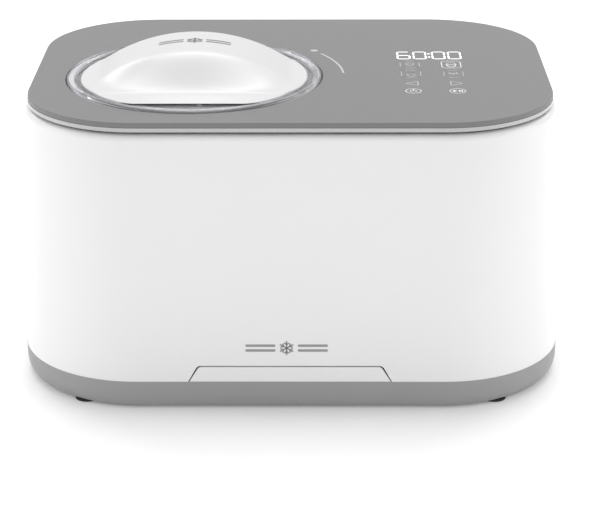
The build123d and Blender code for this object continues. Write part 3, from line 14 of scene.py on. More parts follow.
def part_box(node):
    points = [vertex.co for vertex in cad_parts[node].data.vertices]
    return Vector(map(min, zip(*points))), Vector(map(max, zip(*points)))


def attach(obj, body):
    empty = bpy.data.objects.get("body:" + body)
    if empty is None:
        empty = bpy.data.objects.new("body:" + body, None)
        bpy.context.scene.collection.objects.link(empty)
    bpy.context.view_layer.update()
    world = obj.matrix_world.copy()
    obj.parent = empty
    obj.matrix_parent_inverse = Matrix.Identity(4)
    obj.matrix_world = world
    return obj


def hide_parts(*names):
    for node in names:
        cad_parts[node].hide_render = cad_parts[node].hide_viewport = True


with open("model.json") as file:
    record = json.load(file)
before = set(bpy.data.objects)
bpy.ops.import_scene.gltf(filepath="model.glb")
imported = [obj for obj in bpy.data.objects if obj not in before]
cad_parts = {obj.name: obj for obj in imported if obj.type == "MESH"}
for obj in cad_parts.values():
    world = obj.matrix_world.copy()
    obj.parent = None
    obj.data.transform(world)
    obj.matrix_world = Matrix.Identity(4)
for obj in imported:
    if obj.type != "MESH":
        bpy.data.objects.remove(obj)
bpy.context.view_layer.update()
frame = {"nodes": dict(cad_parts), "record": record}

MM = 0.001
SCENE = bpy.context.scene

# Places worked out from the frame's own boxes
DECK_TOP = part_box("deck_panel")[1].z
SHELL_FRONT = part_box("body_shell")[0].y
LID_LOW, LID_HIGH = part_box("clear_lid")
GRIP_LOW, GRIP_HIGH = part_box("lid_grip")
LID_X = (LID_LOW.x + LID_HIGH.x) / 2
LID_Y = (LID_LOW.y + LID_HIGH.y) / 2


# ---------------------------------------------------------------- material helpers
# Scales of the noise textures: larger is finer
DRIFT_SCALE = 9.0           # slow change of colour over a moulding
METAL_DRIFT_SCALE = 14.0
POLISH_SCALE = 140.0        # uneven gloss
WAVE_SCALE = 22.0           # waviness of cast or pressed skins
GRAIN_SCALE = 2600.0        # fine moulded grain
BRUSH_SCALE = 420.0         # brushed or drawn metal
SPECKLE_SCALE = 900.0
RUBBER_POLISH_SCALE = 120.0
SMEAR_SCALE = 60.0
FLOW_SCALE = 35.0
COLLAR_POLISH_SCALE = 200.0
COLLAR_GRAIN_SCALE = 2000.0
INK_SCALE = 300.0
INK_POLISH_SCALE = 700.0

# Depths of the bumps
WAVE_DEPTH = 0.0006
GRAIN_DEPTH = 0.00008
BRUSH_DEPTH = 0.00006
FLOW_DEPTH = 0.0003
COLLAR_GRAIN_DEPTH = 0.00005
INK_DEPTH = 0.00004

COAT_ROUGHNESS = 0.12
PLASTIC_IOR = 1.5
# Inside the pale seat and beyond it the collar is painted dark: painted shade inside, a painted shadow of
# the gap round the lid outside.
PALE_FROM = 0.0942          # the collar's pale seat, as distances from the lid's axis
PALE_TO = 0.0990
PALE_EDGE = 0.0002          # half the width of the change from pale to dark
WHITE_LIGHT = (1.0, 1.0, 1.0, 1.0)


class Nodes:
    """Small wrapper that adds shader nodes to one material."""

    def __init__(self, name):
        self.material = bpy.data.materials.new(name)
        self.material.use_nodes = True
        self.tree = self.material.node_tree
        self.shader = self.tree.nodes["Principled BSDF"]

    def add(self, kind, **values):
        node = self.tree.nodes.new(kind)
        for key, value in values.items():
            setattr(node, key, value)
        return node

    def link(self, source, target):
        self.tree.links.new(source, target)

    def coords(self, stretch):
        place = self.add("ShaderNodeTexCoord")
        mapping = self.add("ShaderNodeMapping")
        mapping.inputs["Scale"].default_value = stretch
        self.link(place.outputs["Object"], mapping.inputs["Vector"])
        return mapping.outputs["Vector"]

    def noise(self, scale, detail=3.0, stretch=(1.0, 1.0, 1.0)):
        texture = self.add("ShaderNodeTexNoise")
        texture.inputs["Scale"].default_value = scale
        texture.inputs["Detail"].default_value = detail
        self.link(self.coords(stretch), texture.inputs["Vector"])
        return texture.outputs["Fac"]

    def spread(self, value, low, high, start=0.3, end=0.7):
        """Map a 0 to 1 texture value onto a narrow range."""
        node = self.add("ShaderNodeMapRange")
        node.inputs["From Min"].default_value = start
        node.inputs["From Max"].default_value = end
        node.inputs["To Min"].default_value = low
        node.inputs["To Max"].default_value = high
        self.link(value, node.inputs["Value"])
        return node.outputs["Result"]

    def tint(self, value, first, second):
        node = self.add("ShaderNodeMix", data_type="RGBA")
        node.inputs[6].default_value = (*first, 1.0)
        node.inputs[7].default_value = (*second, 1.0)
        self.link(value, node.inputs["Factor"])
        return node.outputs[2]

    def bump(self, height, strength, distance, below=None):
        node = self.add("ShaderNodeBump")
        node.inputs["Strength"].default_value = strength
        node.inputs["Distance"].default_value = distance
        self.link(height, node.inputs["Height"])
        if below is not None:
            self.link(below, node.inputs["Normal"])
        return node.outputs["Normal"]

    def set(self, **sockets):
        for name, value in sockets.items():
            self.shader.inputs[name.replace("_", " ")].default_value = value


def shade(colour, factor):
    """A lighter or darker colour of the same hue."""
    return tuple(min(1.0, channel * factor) for channel in colour)


def plastic(
    name, colour, rough, grain=0.0, coat=0.0, vary=0.03, wave=0.0, uneven=0.15, gloss=0.5
):
    """Moulded plastic: slow colour drift, uneven polish, fine surface grain."""
    m = Nodes(name)
    slow = m.noise(DRIFT_SCALE, 2.0)
    m.link(m.tint(slow, shade(colour, 1 - vary), shade(colour, 1 + vary)), m.shader.inputs["Base Color"])
    fine = m.noise(POLISH_SCALE, 5.0)
    m.link(m.spread(fine, rough * (1 - uneven), rough * (1 + uneven)), m.shader.inputs["Roughness"])
    normal = None
    if wave:
        normal = m.bump(m.noise(WAVE_SCALE, 1.0), wave, WAVE_DEPTH)
    if grain:
        normal = m.bump(m.noise(GRAIN_SCALE, 2.0), grain, GRAIN_DEPTH, normal)
    if normal is not None:
        m.link(normal, m.shader.inputs["Normal"])
    m.set(IOR=PLASTIC_IOR, Coat_Weight=coat, Coat_Roughness=COAT_ROUGHNESS, Specular_IOR_Level=gloss)
    return m.material


def metal(name, colour, rough, stretch, scratch=0.15, vary=0.05):
    """Metal with a drawn or brushed grain along one direction."""
    m = Nodes(name)
    grain = m.noise(BRUSH_SCALE, 6.0, stretch)
    slow = m.noise(METAL_DRIFT_SCALE, 2.0)
    m.link(m.tint(slow, shade(colour, 1 - vary), shade(colour, 1 + vary)), m.shader.inputs["Base Color"])
    m.link(m.spread(grain, rough * 0.75, rough * 1.3), m.shader.inputs["Roughness"])
    m.link(m.bump(grain, scratch, BRUSH_DEPTH), m.shader.inputs["Normal"])
    m.set(Metallic=1.0)
    return m.material


def rubber(name, colour, rough):
    """Matt rubber with a fine speckle."""
    m = Nodes(name)
    speckle = m.noise(SPECKLE_SCALE, 4.0)
    m.link(m.tint(speckle, shade(colour, 0.8), shade(colour, 1.3)), m.shader.inputs["Base Color"])
    m.link(m.spread(m.noise(RUBBER_POLISH_SCALE), rough * 0.85, rough * 1.15), m.shader.inputs["Roughness"])
    m.link(m.bump(speckle, 0.25, GRAIN_DEPTH), m.shader.inputs["Normal"])
    return m.material


def clear_plastic(name, tint, rough, bend, clear):
    """Clear moulding: faint flow waves and fingerprints in the polish."""
    m = Nodes(name)
    smear = m.noise(SMEAR_SCALE, 4.0)
    m.link(m.spread(smear, rough * 0.5, rough * 1.6), m.shader.inputs["Roughness"])
    m.link(m.bump(m.noise(FLOW_SCALE, 1.0), 0.04, FLOW_DEPTH), m.shader.inputs["Normal"])
    m.set(Base_Color=(*tint, 1.0), IOR=bend, Transmission_Weight=clear)
    return m.material


def collar_with_painted_shade(name, pale, inner_shade, outer_shadow):
    """Collar with a pale seat for the lid between painted shade rings, by distance from the lid's axis:
    painted shade inside the seat, a painted shadow of the gap round the lid beyond it.
    """
    m = Nodes(name)
    place = m.add("ShaderNodeTexCoord")
    to_axis = m.add("ShaderNodeVectorMath", operation="SUBTRACT")
    to_axis.inputs[1].default_value = (LID_X, LID_Y, 0.0)
    flat = m.add("ShaderNodeVectorMath", operation="MULTIPLY")
    flat.inputs[1].default_value = (1.0, 1.0, 0.0)
    length = m.add("ShaderNodeVectorMath", operation="LENGTH")
    m.link(place.outputs["Object"], to_axis.inputs[0])
    m.link(to_axis.outputs["Vector"], flat.inputs[0])
    m.link(flat.outputs["Vector"], length.inputs[0])
    distance = length.outputs["Value"]
    # inner ring: painted shade inside the pale seat
    inner = m.spread(distance, 1.0, 0.0, PALE_FROM - PALE_EDGE, PALE_FROM + PALE_EDGE)
    # outer ring: painted shadow of the gap round the lid's flange
    outer = m.spread(distance, 0.0, 1.0, PALE_TO - PALE_EDGE, PALE_TO + PALE_EDGE)
    rim = m.add("ShaderNodeMix", data_type="RGBA")
    rim.inputs[7].default_value = (*outer_shadow, 1.0)
    m.link(outer, rim.inputs["Factor"])
    m.link(m.tint(inner, pale, inner_shade), rim.inputs[6])
    m.link(rim.outputs[2], m.shader.inputs["Base Color"])
    m.link(m.spread(m.noise(COLLAR_POLISH_SCALE), 0.35, 0.5), m.shader.inputs["Roughness"])
    m.link(m.bump(m.noise(COLLAR_GRAIN_SCALE), 0.05, COLLAR_GRAIN_DEPTH), m.shader.inputs["Normal"])
    return m.material


def ink(name, colour, glow):
    """Printed or lit mark: nearly even, with a little unevenness in colour and gloss."""
    m = Nodes(name)
    m.link(m.tint(m.noise(INK_SCALE), shade(colour, 0.96), colour), m.shader.inputs["Base Color"])
    m.link(m.spread(m.noise(INK_POLISH_SCALE), 0.38, 0.5), m.shader.inputs["Roughness"])
    m.link(m.bump(m.noise(GRAIN_SCALE, 2.0), 0.05, INK_DEPTH), m.shader.inputs["Normal"])
    m.set(Emission_Color=WHITE_LIGHT, Emission_Strength=glow)
    return m.material


# ---------------------------------------------------------------- materials
BODY_WHITE = plastic(
    "body_white", (0.86, 0.86, 0.865), 0.34, grain=0.02, coat=0.25, vary=0.004, uneven=0.06
)
GRIP_WHITE = plastic(
    "grip_white", (0.685, 0.685, 0.69), 0.30, grain=0.004, vary=0.002, uneven=0.02
)
DECK_GREY = plastic(
    "deck_grey", (0.213, 0.213, 0.215), 0.45, grain=0.008, vary=0.004, uneven=0.04, gloss=0.3
)
BASE_GREY = plastic("base_grey", (0.325, 0.325, 0.327), 0.5, grain=0.16, vary=0.03)
FRAME_GREY = plastic("frame_grey", (0.10, 0.10, 0.105), 0.5, grain=0.1)
TRIM_SILVER = metal("trim_silver", (0.43, 0.43, 0.435), 0.24, (1.0, 1.0, 30.0), scratch=0.05)
BOWL_METAL = metal("bowl_metal", (0.70, 0.70, 0.71), 0.32, (1.0, 1.0, 60.0), scratch=0.12)
WELL_METAL = metal("well_metal", (0.66, 0.67, 0.68), 0.4, (1.0, 1.0, 40.0), scratch=0.15)
STEEL = metal("steel", (0.60, 0.60, 0.61), 0.3, (1.0, 1.0, 24.0))
SCREW_STEEL = metal("screw_steel", (0.55, 0.55, 0.57), 0.35, (20.0, 1.0, 1.0), scratch=0.2)
COPPER = metal("copper", (0.80, 0.44, 0.29), 0.33, (1.0, 1.0, 6.0), scratch=0.12, vary=0.14)
FIN_METAL = metal("fin_metal", (0.78, 0.79, 0.80), 0.42, (1.0, 30.0, 1.0))
LID_CLEAR = clear_plastic("lid_clear", (0.93, 0.93, 0.955), 0.05, 1.2, 0.86)
SILICONE = plastic("silicone", (0.74, 0.74, 0.76), 0.55, grain=0.08)
FOOT_RUBBER = rubber("foot_rubber", (0.025, 0.025, 0.026), 0.75)
PADDLE_PLASTIC = plastic("paddle_plastic", (0.80, 0.81, 0.82), 0.42, grain=0.08, vary=0.02)
FOAM = plastic("foam", (0.78, 0.70, 0.46), 0.95, grain=0.9, vary=0.12)
COMPRESSOR_BLACK = plastic(
    "compressor_black", (0.018, 0.018, 0.02), 0.3, grain=0.35, coat=0.4, vary=0.1, wave=0.2
)
INNER_PLASTIC = plastic("inner_plastic", (0.66, 0.66, 0.64), 0.55, grain=0.12)
GEAR_PLASTIC = plastic("gear_plastic", (0.80, 0.78, 0.70), 0.45, grain=0.08)
BOARD_GREEN = plastic("board_green", (0.03, 0.14, 0.07), 0.38, grain=0.2, coat=0.3, vary=0.15)
BLACK_PLASTIC = plastic("black_plastic", (0.022, 0.022, 0.023), 0.45, grain=0.2, vary=0.1)
# Collar look with painted shade: its dark rings stand in for the shade and the shadow gap round the lid's
# seat.
COLLAR_PAINTED_SHADE = collar_with_painted_shade(
    "collar_pale_painted_shade", pale=(0.90, 0.90, 0.91), inner_shade=(0.28, 0.28, 0.295), outer_shadow=(0.02, 0.02, 0.022)
)
MARK_DARK = plastic("mark_dark", (0.14, 0.14, 0.145), 0.35, grain=0.02, vary=0.02)
MARK_GREY = plastic("mark_grey", (0.30, 0.30, 0.305), 0.35, grain=0.05, vary=0.02)
DISPLAY_WHITE = ink("display_white", (0.92, 0.92, 0.93), 0.62)
INK_BRIGHT = ink("ink_bright", (0.80, 0.80, 0.81), 0.16)
INK_SOFT = ink("ink_soft", (0.52, 0.52, 0.53), 0.04)
INK_FAINT = ink("ink_faint", (0.44, 0.44, 0.45), 0.03)

SLOT_LOOKS = {
    "body_white": BODY_WHITE,
    "base_grey": BASE_GREY,
    "deck_grey": DECK_GREY,
    "trim_silver": TRIM_SILVER,
    "frame_grey": FRAME_GREY,
    "lid_clear": LID_CLEAR,
    "grip_white": GRIP_WHITE,
    "silicone": SILICONE,
    "foot_rubber": FOOT_RUBBER,
    "bowl_metal": BOWL_METAL,
    "well_metal": WELL_METAL,
    "steel": STEEL,
    "paddle_plastic": PADDLE_PLASTIC,
    "foam": FOAM,
    "copper": COPPER,
    "compressor_black": COMPRESSOR_BLACK,
    "fin_metal": FIN_METAL,
    "inner_plastic": INNER_PLASTIC,
    "gear_plastic": GEAR_PLASTIC,
    "board_green": BOARD_GREEN,
    "black_plastic": BLACK_PLASTIC,
    "screw_steel": SCREW_STEEL,
}

for row in frame["record"]["subparts"]:
    node = frame["nodes"][row["node"]]
    node.data.materials.clear()
    node.data.materials.append(SLOT_LOOKS[row["material_slot"]])

# the collar takes the look with the painted shade rings
frame["nodes"]["well_collar"].data.materials[0] = COLLAR_PAINTED_SHADE


# ---------------------------------------------------------------- printed marks
INK_HEIGHT = 0.00003        # how far printed marks stand off their surface
END_STEPS = 6               # flats round the half circle at the end of a bar
CORNER_STEPS = 6


def place_piece(name, mesh, look, body):
    """Put a finished mesh in the scene, name its look and let it ride on a body."""
    mesh.materials.append(look)
    piece = bpy.data.objects.new(name, mesh)
    SCENE.collection.objects.link(piece)
    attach(piece, body)
    return piece


def filled_shapes(outlines, base, up, right):
    """Thin solid tiles from flat outlines in mm, drawn from a base point along right and up."""
    build = bmesh.new()
    out = right.cross(up)
    for outline in outlines:
        flat = [base + right * (x * MM) + up * (y * MM) for x, y in outline]
        low_ring = [build.verts.new(point - out * INK_HEIGHT) for point in flat]
        high_ring = [build.verts.new(point + out * INK_HEIGHT) for point in flat]
        build.faces.new(high_ring)
        build.faces.new(list(reversed(low_ring)))
        for i in range(len(flat)):
            j = (i + 1) % len(flat)
            build.faces.new((low_ring[i], low_ring[j], high_ring[j], high_ring[i]))
    bmesh.ops.recalc_face_normals(build, faces=build.faces)
    mesh = bpy.data.meshes.new("tiles")
    build.to_mesh(mesh)
    build.free()
    return mesh


def ring_points(centre, radius_x, radius_y, start=0.0, end=360.0, steps=32):
    """Points along an oval arc, in mm."""
    angles = [math.radians(start + (end - start) * step / steps) for step in range(steps + 1)]
    return [(centre[0] + radius_x * math.cos(a), centre[1] + radius_y * math.sin(a)) for a in angles]


def stroke_outline(start, end, width):
    """A bar with round ends between two points, in mm."""
    across = Vector((end[0] - start[0], end[1] - start[1]))
    turn = math.degrees(math.atan2(across.y, across.x))
    points = []
    for centre, first in ((end, -90.0), (start, 90.0)):
        points += ring_points(centre, width / 2, width / 2, turn + first, turn + first + 180.0, END_STEPS)
    return points


def path_strokes(points, width, closed=False):
    """Bars along a path, each a tile of its own."""
    ends = list(zip(points, points[1:]))
    if closed:
        ends.append((points[-1], points[0]))
    return [stroke_outline(start, end, width) for start, end in ends]


def arc_band(centre, radius, width, start, end, steps=32):
    """A band of even width along a circle, as one outline."""
    outer = ring_points(centre, radius + width / 2, radius + width / 2, start, end, steps)
    inner = ring_points(centre, radius - width / 2, radius - width / 2, start, end, steps)
    return outer + inner[::-1]


def rounded_box(centre, width, height, corner):
    """Points round a box with round corners, in mm."""
    points = []
    for sx, sy, first in ((1, 1, 0.0), (-1, 1, 90.0), (-1, -1, 180.0), (1, -1, 270.0)):
        middle = (centre[0] + sx * (width / 2 - corner), centre[1] + sy * (height / 2 - corner))
        points += ring_points(middle, corner, corner, first, first + 90.0, CORNER_STEPS)
    return points


DECK_BASE = Vector((0.0, 0.0, DECK_TOP))
AXIS_X = Vector((1.0, 0.0, 0.0))
AXIS_Y = Vector((0.0, 1.0, 0.0))


def on_deck(name, outlines, look):
    """A mark on the top panel, from flat outlines in the object's own x and y in mm."""
    place_piece(name, filled_shapes(outlines, DECK_BASE, AXIS_Y, AXIS_X), look, "base")


# Timer: four seven-segment digits
DIGIT_LEFTS = (85.5, 98.6, 113.9, 126.9)
DIGIT_WIDTH = 11.2
DIGIT_LOW = 21.5
DIGIT_HEIGHT = 21.8
BAR_ACROSS = 1.45           # width of the upright bars
BAR_DOWN = 1.5              # width of the level bars
BAR_GAP = 0.5
COLON_X = 111.8
COLON_HEIGHTS = (27.6, 37.2)
COLON_DOT = (1.0, 1.5)
SEGMENTS = {"0": "abcdef", "6": "acdefg"}


def bar(start, end, width):
    """A seven-segment bar with pointed ends."""
    along = Vector((end[0] - start[0], end[1] - start[1])).normalized()
    side = Vector((-along.y, along.x)) * width / 2
    first = Vector(start)
    last = Vector(end)
    point = along * width / 2
    near = first + point
    far = last - point
    corners = (first, near + side, far + side, last, far - side, near - side)
    return [(corner.x, corner.y) for corner in corners]


def digit(symbol, left):
    """The lit bars of one digit."""
    x0 = left + BAR_ACROSS / 2
    x1 = left + DIGIT_WIDTH - BAR_ACROSS / 2
    y0 = DIGIT_LOW + BAR_DOWN / 2
    y2 = DIGIT_LOW + DIGIT_HEIGHT - BAR_DOWN / 2
    y1 = (y0 + y2) / 2
    lines = {
        "a": ((x0 + BAR_GAP, y2), (x1 - BAR_GAP, y2), BAR_DOWN),
        "b": ((x1, y1 + BAR_GAP), (x1, y2 - BAR_GAP), BAR_ACROSS),
        "c": ((x1, y0 + BAR_GAP), (x1, y1 - BAR_GAP), BAR_ACROSS),
        "d": ((x0 + BAR_GAP, y0), (x1 - BAR_GAP, y0), BAR_DOWN),
        "e": ((x0, y0 + BAR_GAP), (x0, y1 - BAR_GAP), BAR_ACROSS),
        "f": ((x0, y1 + BAR_GAP), (x0, y2 - BAR_GAP), BAR_ACROSS),
        "g": ((x0 + BAR_GAP, y1), (x1 - BAR_GAP, y1), BAR_DOWN),
    }
    return [bar(*lines[segment]) for segment in SEGMENTS[symbol]]


timer = []
for symbol, left in zip("6000", DIGIT_LEFTS):
    timer += digit(symbol, left)
for height in COLON_HEIGHTS:
    timer.append(ring_points((COLON_X, height), *COLON_DOT, steps=16)[:-1])
on_deck("timer_digits", timer, DISPLAY_WHITE)

# Program keys: a block of ice, a scoop, a cone and loose pieces, each in a rounded frame
FRAME_LINE = 0.7
ICON_LINE = 0.8
KEY_CORNER = 3.2
KEY_ROW_1 = 5.8
KEY_ROW_2 = -20.4
KEY_DEPTH = 19.8
KEY_WIDTH = 15.2
LEFT_KEYS = 95.1
RIGHT_KEYS = 128.3
PIECES_X = 128.6
ARM_COUNT = 6
FIRST_ARM = 30.0
BRANCH_START = 0.55         # where a snowflake's side branches leave its arm
BRANCH_LENGTH = 0.34
BRANCH_LEAN = 55.0
CUP_TAPER = 0.55
GEM_SHOULDER = 0.15
BEAD_RISE = 1.4             # how much higher the outer pieces lie
BEAD_STRETCH = 1.6


def snowflake(centre, radius, width):
    """Six arms, each with a pair of short side branches."""
    lines = []
    for step in range(ARM_COUNT):
        angle = math.radians(360.0 / ARM_COUNT * step + FIRST_ARM)
        ray = Vector((math.cos(angle), math.sin(angle)))
        middle = Vector(centre)
        tip = middle + ray * radius
        lines.append(stroke_outline(centre, (tip.x, tip.y), width))
        root = middle + ray * (radius * BRANCH_START)
        for lean in (-BRANCH_LEAN, BRANCH_LEAN):
            branch = angle + math.radians(lean)
            end = root + Vector((math.cos(branch), math.sin(branch))) * (radius * BRANCH_LENGTH)
            lines.append(stroke_outline((root.x, root.y), (end.x, end.y), width))
    return lines


def cup(centre, width, height):
    """A tapered cup with a domed scoop."""
    x, y = centre
    half = width / 2
    foot = half * CUP_TAPER
    low = y - height / 2
    side = [(x - half, y), (x - foot, low), (x + foot, low), (x + half, y)]
    dome = ring_points(centre, half, height / 2, 0.0, 180.0, 14)
    brim = [side[0], side[-1]]
    return [stroke for path in (side, dome, brim) for stroke in path_strokes(path, ICON_LINE)]


def gem(centre, width, height):
    """A lozenge with a flat top, as a block of ice."""
    x, y = centre
    half = width / 2
    points = [
        (x - half, y + height * GEM_SHOULDER),
        (x - half * 0.5, y + height / 2),
        (x + half * 0.5, y + height / 2),
        (x + half, y + height * GEM_SHOULDER),
        (x, y - height / 2),
    ]
    return path_strokes(points, ICON_LINE, closed=True) + path_strokes([points[0], points[3]], ICON_LINE)


def beads(centre, pitch, radius):
    """A row of three round pieces, the outer two a little higher."""
    outlines = []
    for step in (-1, 0, 1):
        middle = (centre[0] + pitch * step, centre[1] + BEAD_RISE * (step % 2))
        outlines.append(ring_points(middle, radius, radius * BEAD_STRETCH, steps=14)[:-1])
    return outlines


def program_key(name, centre, picture, look):
    """One key: its picture inside a rounded frame."""
    outline = rounded_box(centre, KEY_WIDTH, KEY_DEPTH, KEY_CORNER)
    on_deck(name, picture + path_strokes(outline, FRAME_LINE, closed=True), look)


ICE_PICTURE = gem((LEFT_KEYS, KEY_ROW_1), 7.4, 10.0)
SCOOP_PICTURE = cup((RIGHT_KEYS, KEY_ROW_1 - 0.5), 7.8, 11.5)
CONE_PICTURE = cup((LEFT_KEYS, KEY_ROW_2 - 1.0), 7.0, 12.0)
PIECES_PICTURE = beads((PIECES_X, KEY_ROW_2), 2.7, 1.15)
program_key("key_frozen_ice", (LEFT_KEYS, KEY_ROW_1), ICE_PICTURE, INK_FAINT)
program_key("key_scoop", (RIGHT_KEYS, KEY_ROW_1), SCOOP_PICTURE, INK_BRIGHT)
program_key("key_cone", (LEFT_KEYS, KEY_ROW_2), CONE_PICTURE, INK_FAINT)
program_key("key_pieces", (PIECES_X, KEY_ROW_2), PIECES_PICTURE, INK_FAINT)

# Arrows, power and play keys
ARROW_Y = -46.8
ARROW_HALF = 5.6
LESS_BACK, LESS_TIP = 99.3, 89.6
MORE_BACK, MORE_TIP = 124.9, 134.6
SIGN_Y = -67.0
SIGN_RING = 6.0
POWER_PLACE = (94.9, SIGN_Y)
POWER_RING = (2.4, 3.1)     # half its width and half its depth
POWER_RING_FROM = 120.0
POWER_RING_TO = 420.0
POWER_BAR_FROM = 0.6
POWER_BAR_TO = 4.0
PLAY_PLACE = (129.0, SIGN_Y)
PLAY_BACK = 3.4
PLAY_TIP = 0.4
PLAY_HALF = 2.4
PAUSE_PLACES = (1.4, 3.3)
PAUSE_HALF = 2.0
PAUSE_WIDTH = 1.0


def arrow(back, tip):
    """A triangle that points along x."""
    points = [(back, ARROW_Y - ARROW_HALF), (back, ARROW_Y + ARROW_HALF), (tip, ARROW_Y)]
    return path_strokes(points, ICON_LINE, closed=True)


def sign_ring(centre):
    """The ring round a sign."""
    return path_strokes(ring_points(centre, SIGN_RING, SIGN_RING), ICON_LINE)


def power_sign(centre):
    """An open ring with a bar through its gap."""
    x, y = centre
    ring = ring_points(centre, *POWER_RING, POWER_RING_FROM, POWER_RING_TO, 20)
    upright = stroke_outline((x, y + POWER_BAR_FROM), (x, y + POWER_BAR_TO), ICON_LINE)
    return path_strokes(ring, ICON_LINE) + [upright]


def play_sign(centre):
    """A triangle and two bars."""
    x, y = centre
    signs = [[(x - PLAY_BACK, y - PLAY_HALF), (x - PLAY_TIP, y), (x - PLAY_BACK, y + PLAY_HALF)]]
    for shift in PAUSE_PLACES:
        low_end = (x + shift, y - PAUSE_HALF)
        high_end = (x + shift, y + PAUSE_HALF)
        signs.append(stroke_outline(low_end, high_end, PAUSE_WIDTH))
    return signs


on_deck("key_less", arrow(LESS_BACK, LESS_TIP), INK_SOFT)
on_deck("key_more", arrow(MORE_BACK, MORE_TIP), INK_SOFT)
on_deck("key_power", sign_ring(POWER_PLACE) + power_sign(POWER_PLACE), INK_BRIGHT)
on_deck("key_play", sign_ring(PLAY_PLACE) + play_sign(PLAY_PLACE), INK_BRIGHT)

# Lock marks beside the lid
LID_CENTRE = (LID_X / MM, LID_Y / MM)
LOCK_DOT = (18.5, 47.4)
LOCK_DOT_SIZE = (3.2, 2.5)
LOCK_ARC_RADIUS = 117.8
LOCK_ARC_WIDTH = 1.5
LOCK_ARC_START = 3.0
LOCK_ARC_END = 32.0
on_deck("lock_dot", [ring_points(LOCK_DOT, *LOCK_DOT_SIZE, steps=24)[:-1]], INK_SOFT)
lock_band = arc_band(LID_CENTRE, LOCK_ARC_RADIUS, LOCK_ARC_WIDTH, LOCK_ARC_START, LOCK_ARC_END)
on_deck("lock_arc", [lock_band], INK_SOFT)

# Plain mark on the front: a snowflake between double bars
EMBLEM_X = -2.5
EMBLEM_Z = 51.5
EMBLEM_REACH = 6.0          # how far above and below it the wall's slope is read
EMBLEM_FLAKE = 5.4
EMBLEM_LINE = 1.25
EMBLEM_BARS = ((-30.5, -9.5), (9.5, 30.5))
EMBLEM_LEVEL = 2.0
EMBLEM_BAR_WIDTH = 2.1


def front_wall(height):
    """Point on the front wall at a height, found by looking at the shell from the front."""
    shell = frame["nodes"]["body_shell"]
    inward = shell.matrix_world.inverted()
    start = inward @ Vector((EMBLEM_X * MM, 2 * SHELL_FRONT, height * MM))
    hit, point, _, _ = shell.ray_cast(start, inward.to_3x3() @ AXIS_Y)
    assert hit
    return shell.matrix_world @ point


mark_centre = front_wall(EMBLEM_Z)
mark_slope = front_wall(EMBLEM_Z + EMBLEM_REACH) - front_wall(EMBLEM_Z - EMBLEM_REACH)
emblem = snowflake((0.0, 0.0), EMBLEM_FLAKE, EMBLEM_LINE)
for first, last in EMBLEM_BARS:
    for level in (-EMBLEM_LEVEL, EMBLEM_LEVEL):
        emblem.append(stroke_outline((first, level), (last, level), EMBLEM_BAR_WIDTH))
emblem_mesh = filled_shapes(emblem, mark_centre, mark_slope.normalized(), AXIS_X)
place_piece("front_mark", emblem_mesh, MARK_GREY, "base")

# ---------------------------------------------------------------- the grip, with an even skin
CAP_RADIUS = 89.3
CAP_FRONT = -75.0
CAP_BACK = 42.0
CAP_CORNER = 5.0
CAP_EDGE = 0.5              # bevel round the plate's top edge
ARCH_HEIGHT = 24.2
ARCH_RADIUS = 134.0
ARCH_HALF = math.sqrt(ARCH_RADIUS**2 - (ARCH_RADIUS - ARCH_HEIGHT) ** 2)
ARCH_FRONT = -16.0
ARCH_FOOT = -49.5
SLOPE_SOFTNESS = 2.0
FOOT_SOFTNESS = 1.3         # soft line where the arch grows out of the plate
GRIP_WALL = 2.8
GRIP_SIDE = 14.0
CAP_TOP = GRIP_HIGH.z / MM - ARCH_HEIGHT
PLATE_LOW = GRIP_LOW.z / MM
UNDERCUT_DEPTH = 3.0
UNDERCUT_HEIGHT = 1.2
GRIP_ROWS = 132
GRIP_COLUMNS = 150
SKIN_DROP = 0.07            # keeps the skin, and the mark on it, inside the CAD grip's height
LEAST_RISE = 0.05
STRAIGHT_FROM = 30          # beyond this many softnesses a soft step is straight
CREASE = math.radians(50)   # edges that fold more than this stay sharp


def soft_step(value, softness):
    """Zero well below zero, the value itself well above it."""
    if value > STRAIGHT_FROM * softness:
        return value
    return softness * math.log(1 + math.exp(value / softness))


def grip_rise(y):
    """Height of the arch above the plate along the lid's middle line."""
    line = ARCH_HEIGHT * (y - ARCH_FOOT) / (ARCH_FRONT - ARCH_FOOT)
    return soft_step(line, SLOPE_SOFTNESS) - soft_step(line - ARCH_HEIGHT, SLOPE_SOFTNESS)


def arch_height(x, half, rise):
    """Height of a circle segment over its chord, and below zero beyond its ends."""
    radius = (half**2 + rise**2) / (2 * rise)
    return math.sqrt(max(0.0, radius**2 - x**2)) - (radius - rise)


def cap_half_width(y):
    """Half the plate's width, with its front corners rounded."""
    width = math.sqrt(CAP_RADIUS**2 - y**2)
    into_corner = max(0.0, CAP_FRONT + CAP_CORNER - y) / CAP_CORNER
    return width - CAP_CORNER * (1 - math.sqrt(max(0.0, 1 - into_corner**2)))


def grip_top(x, y):
    """Height of the plate and arch, above the object's own base."""
    rise = max(LEAST_RISE, grip_rise(y))
    arch = soft_step(arch_height(x, ARCH_HALF, rise), FOOT_SOFTNESS)
    return CAP_TOP - SKIN_DROP + min(arch, rise)


def grip_underside(x, y):
    """The plate's flat underside, undercut along its front edge, with the hollow for the fingers."""
    if y < CAP_FRONT + UNDERCUT_DEPTH:
        return PLATE_LOW + UNDERCUT_HEIGHT
    rise = grip_rise(y) + CAP_TOP - PLATE_LOW - GRIP_WALL
    if grip_rise(y) <= 3 * GRIP_WALL:
        return PLATE_LOW
    return PLATE_LOW + max(0.0, arch_height(x, ARCH_HALF - GRIP_SIDE, rise))


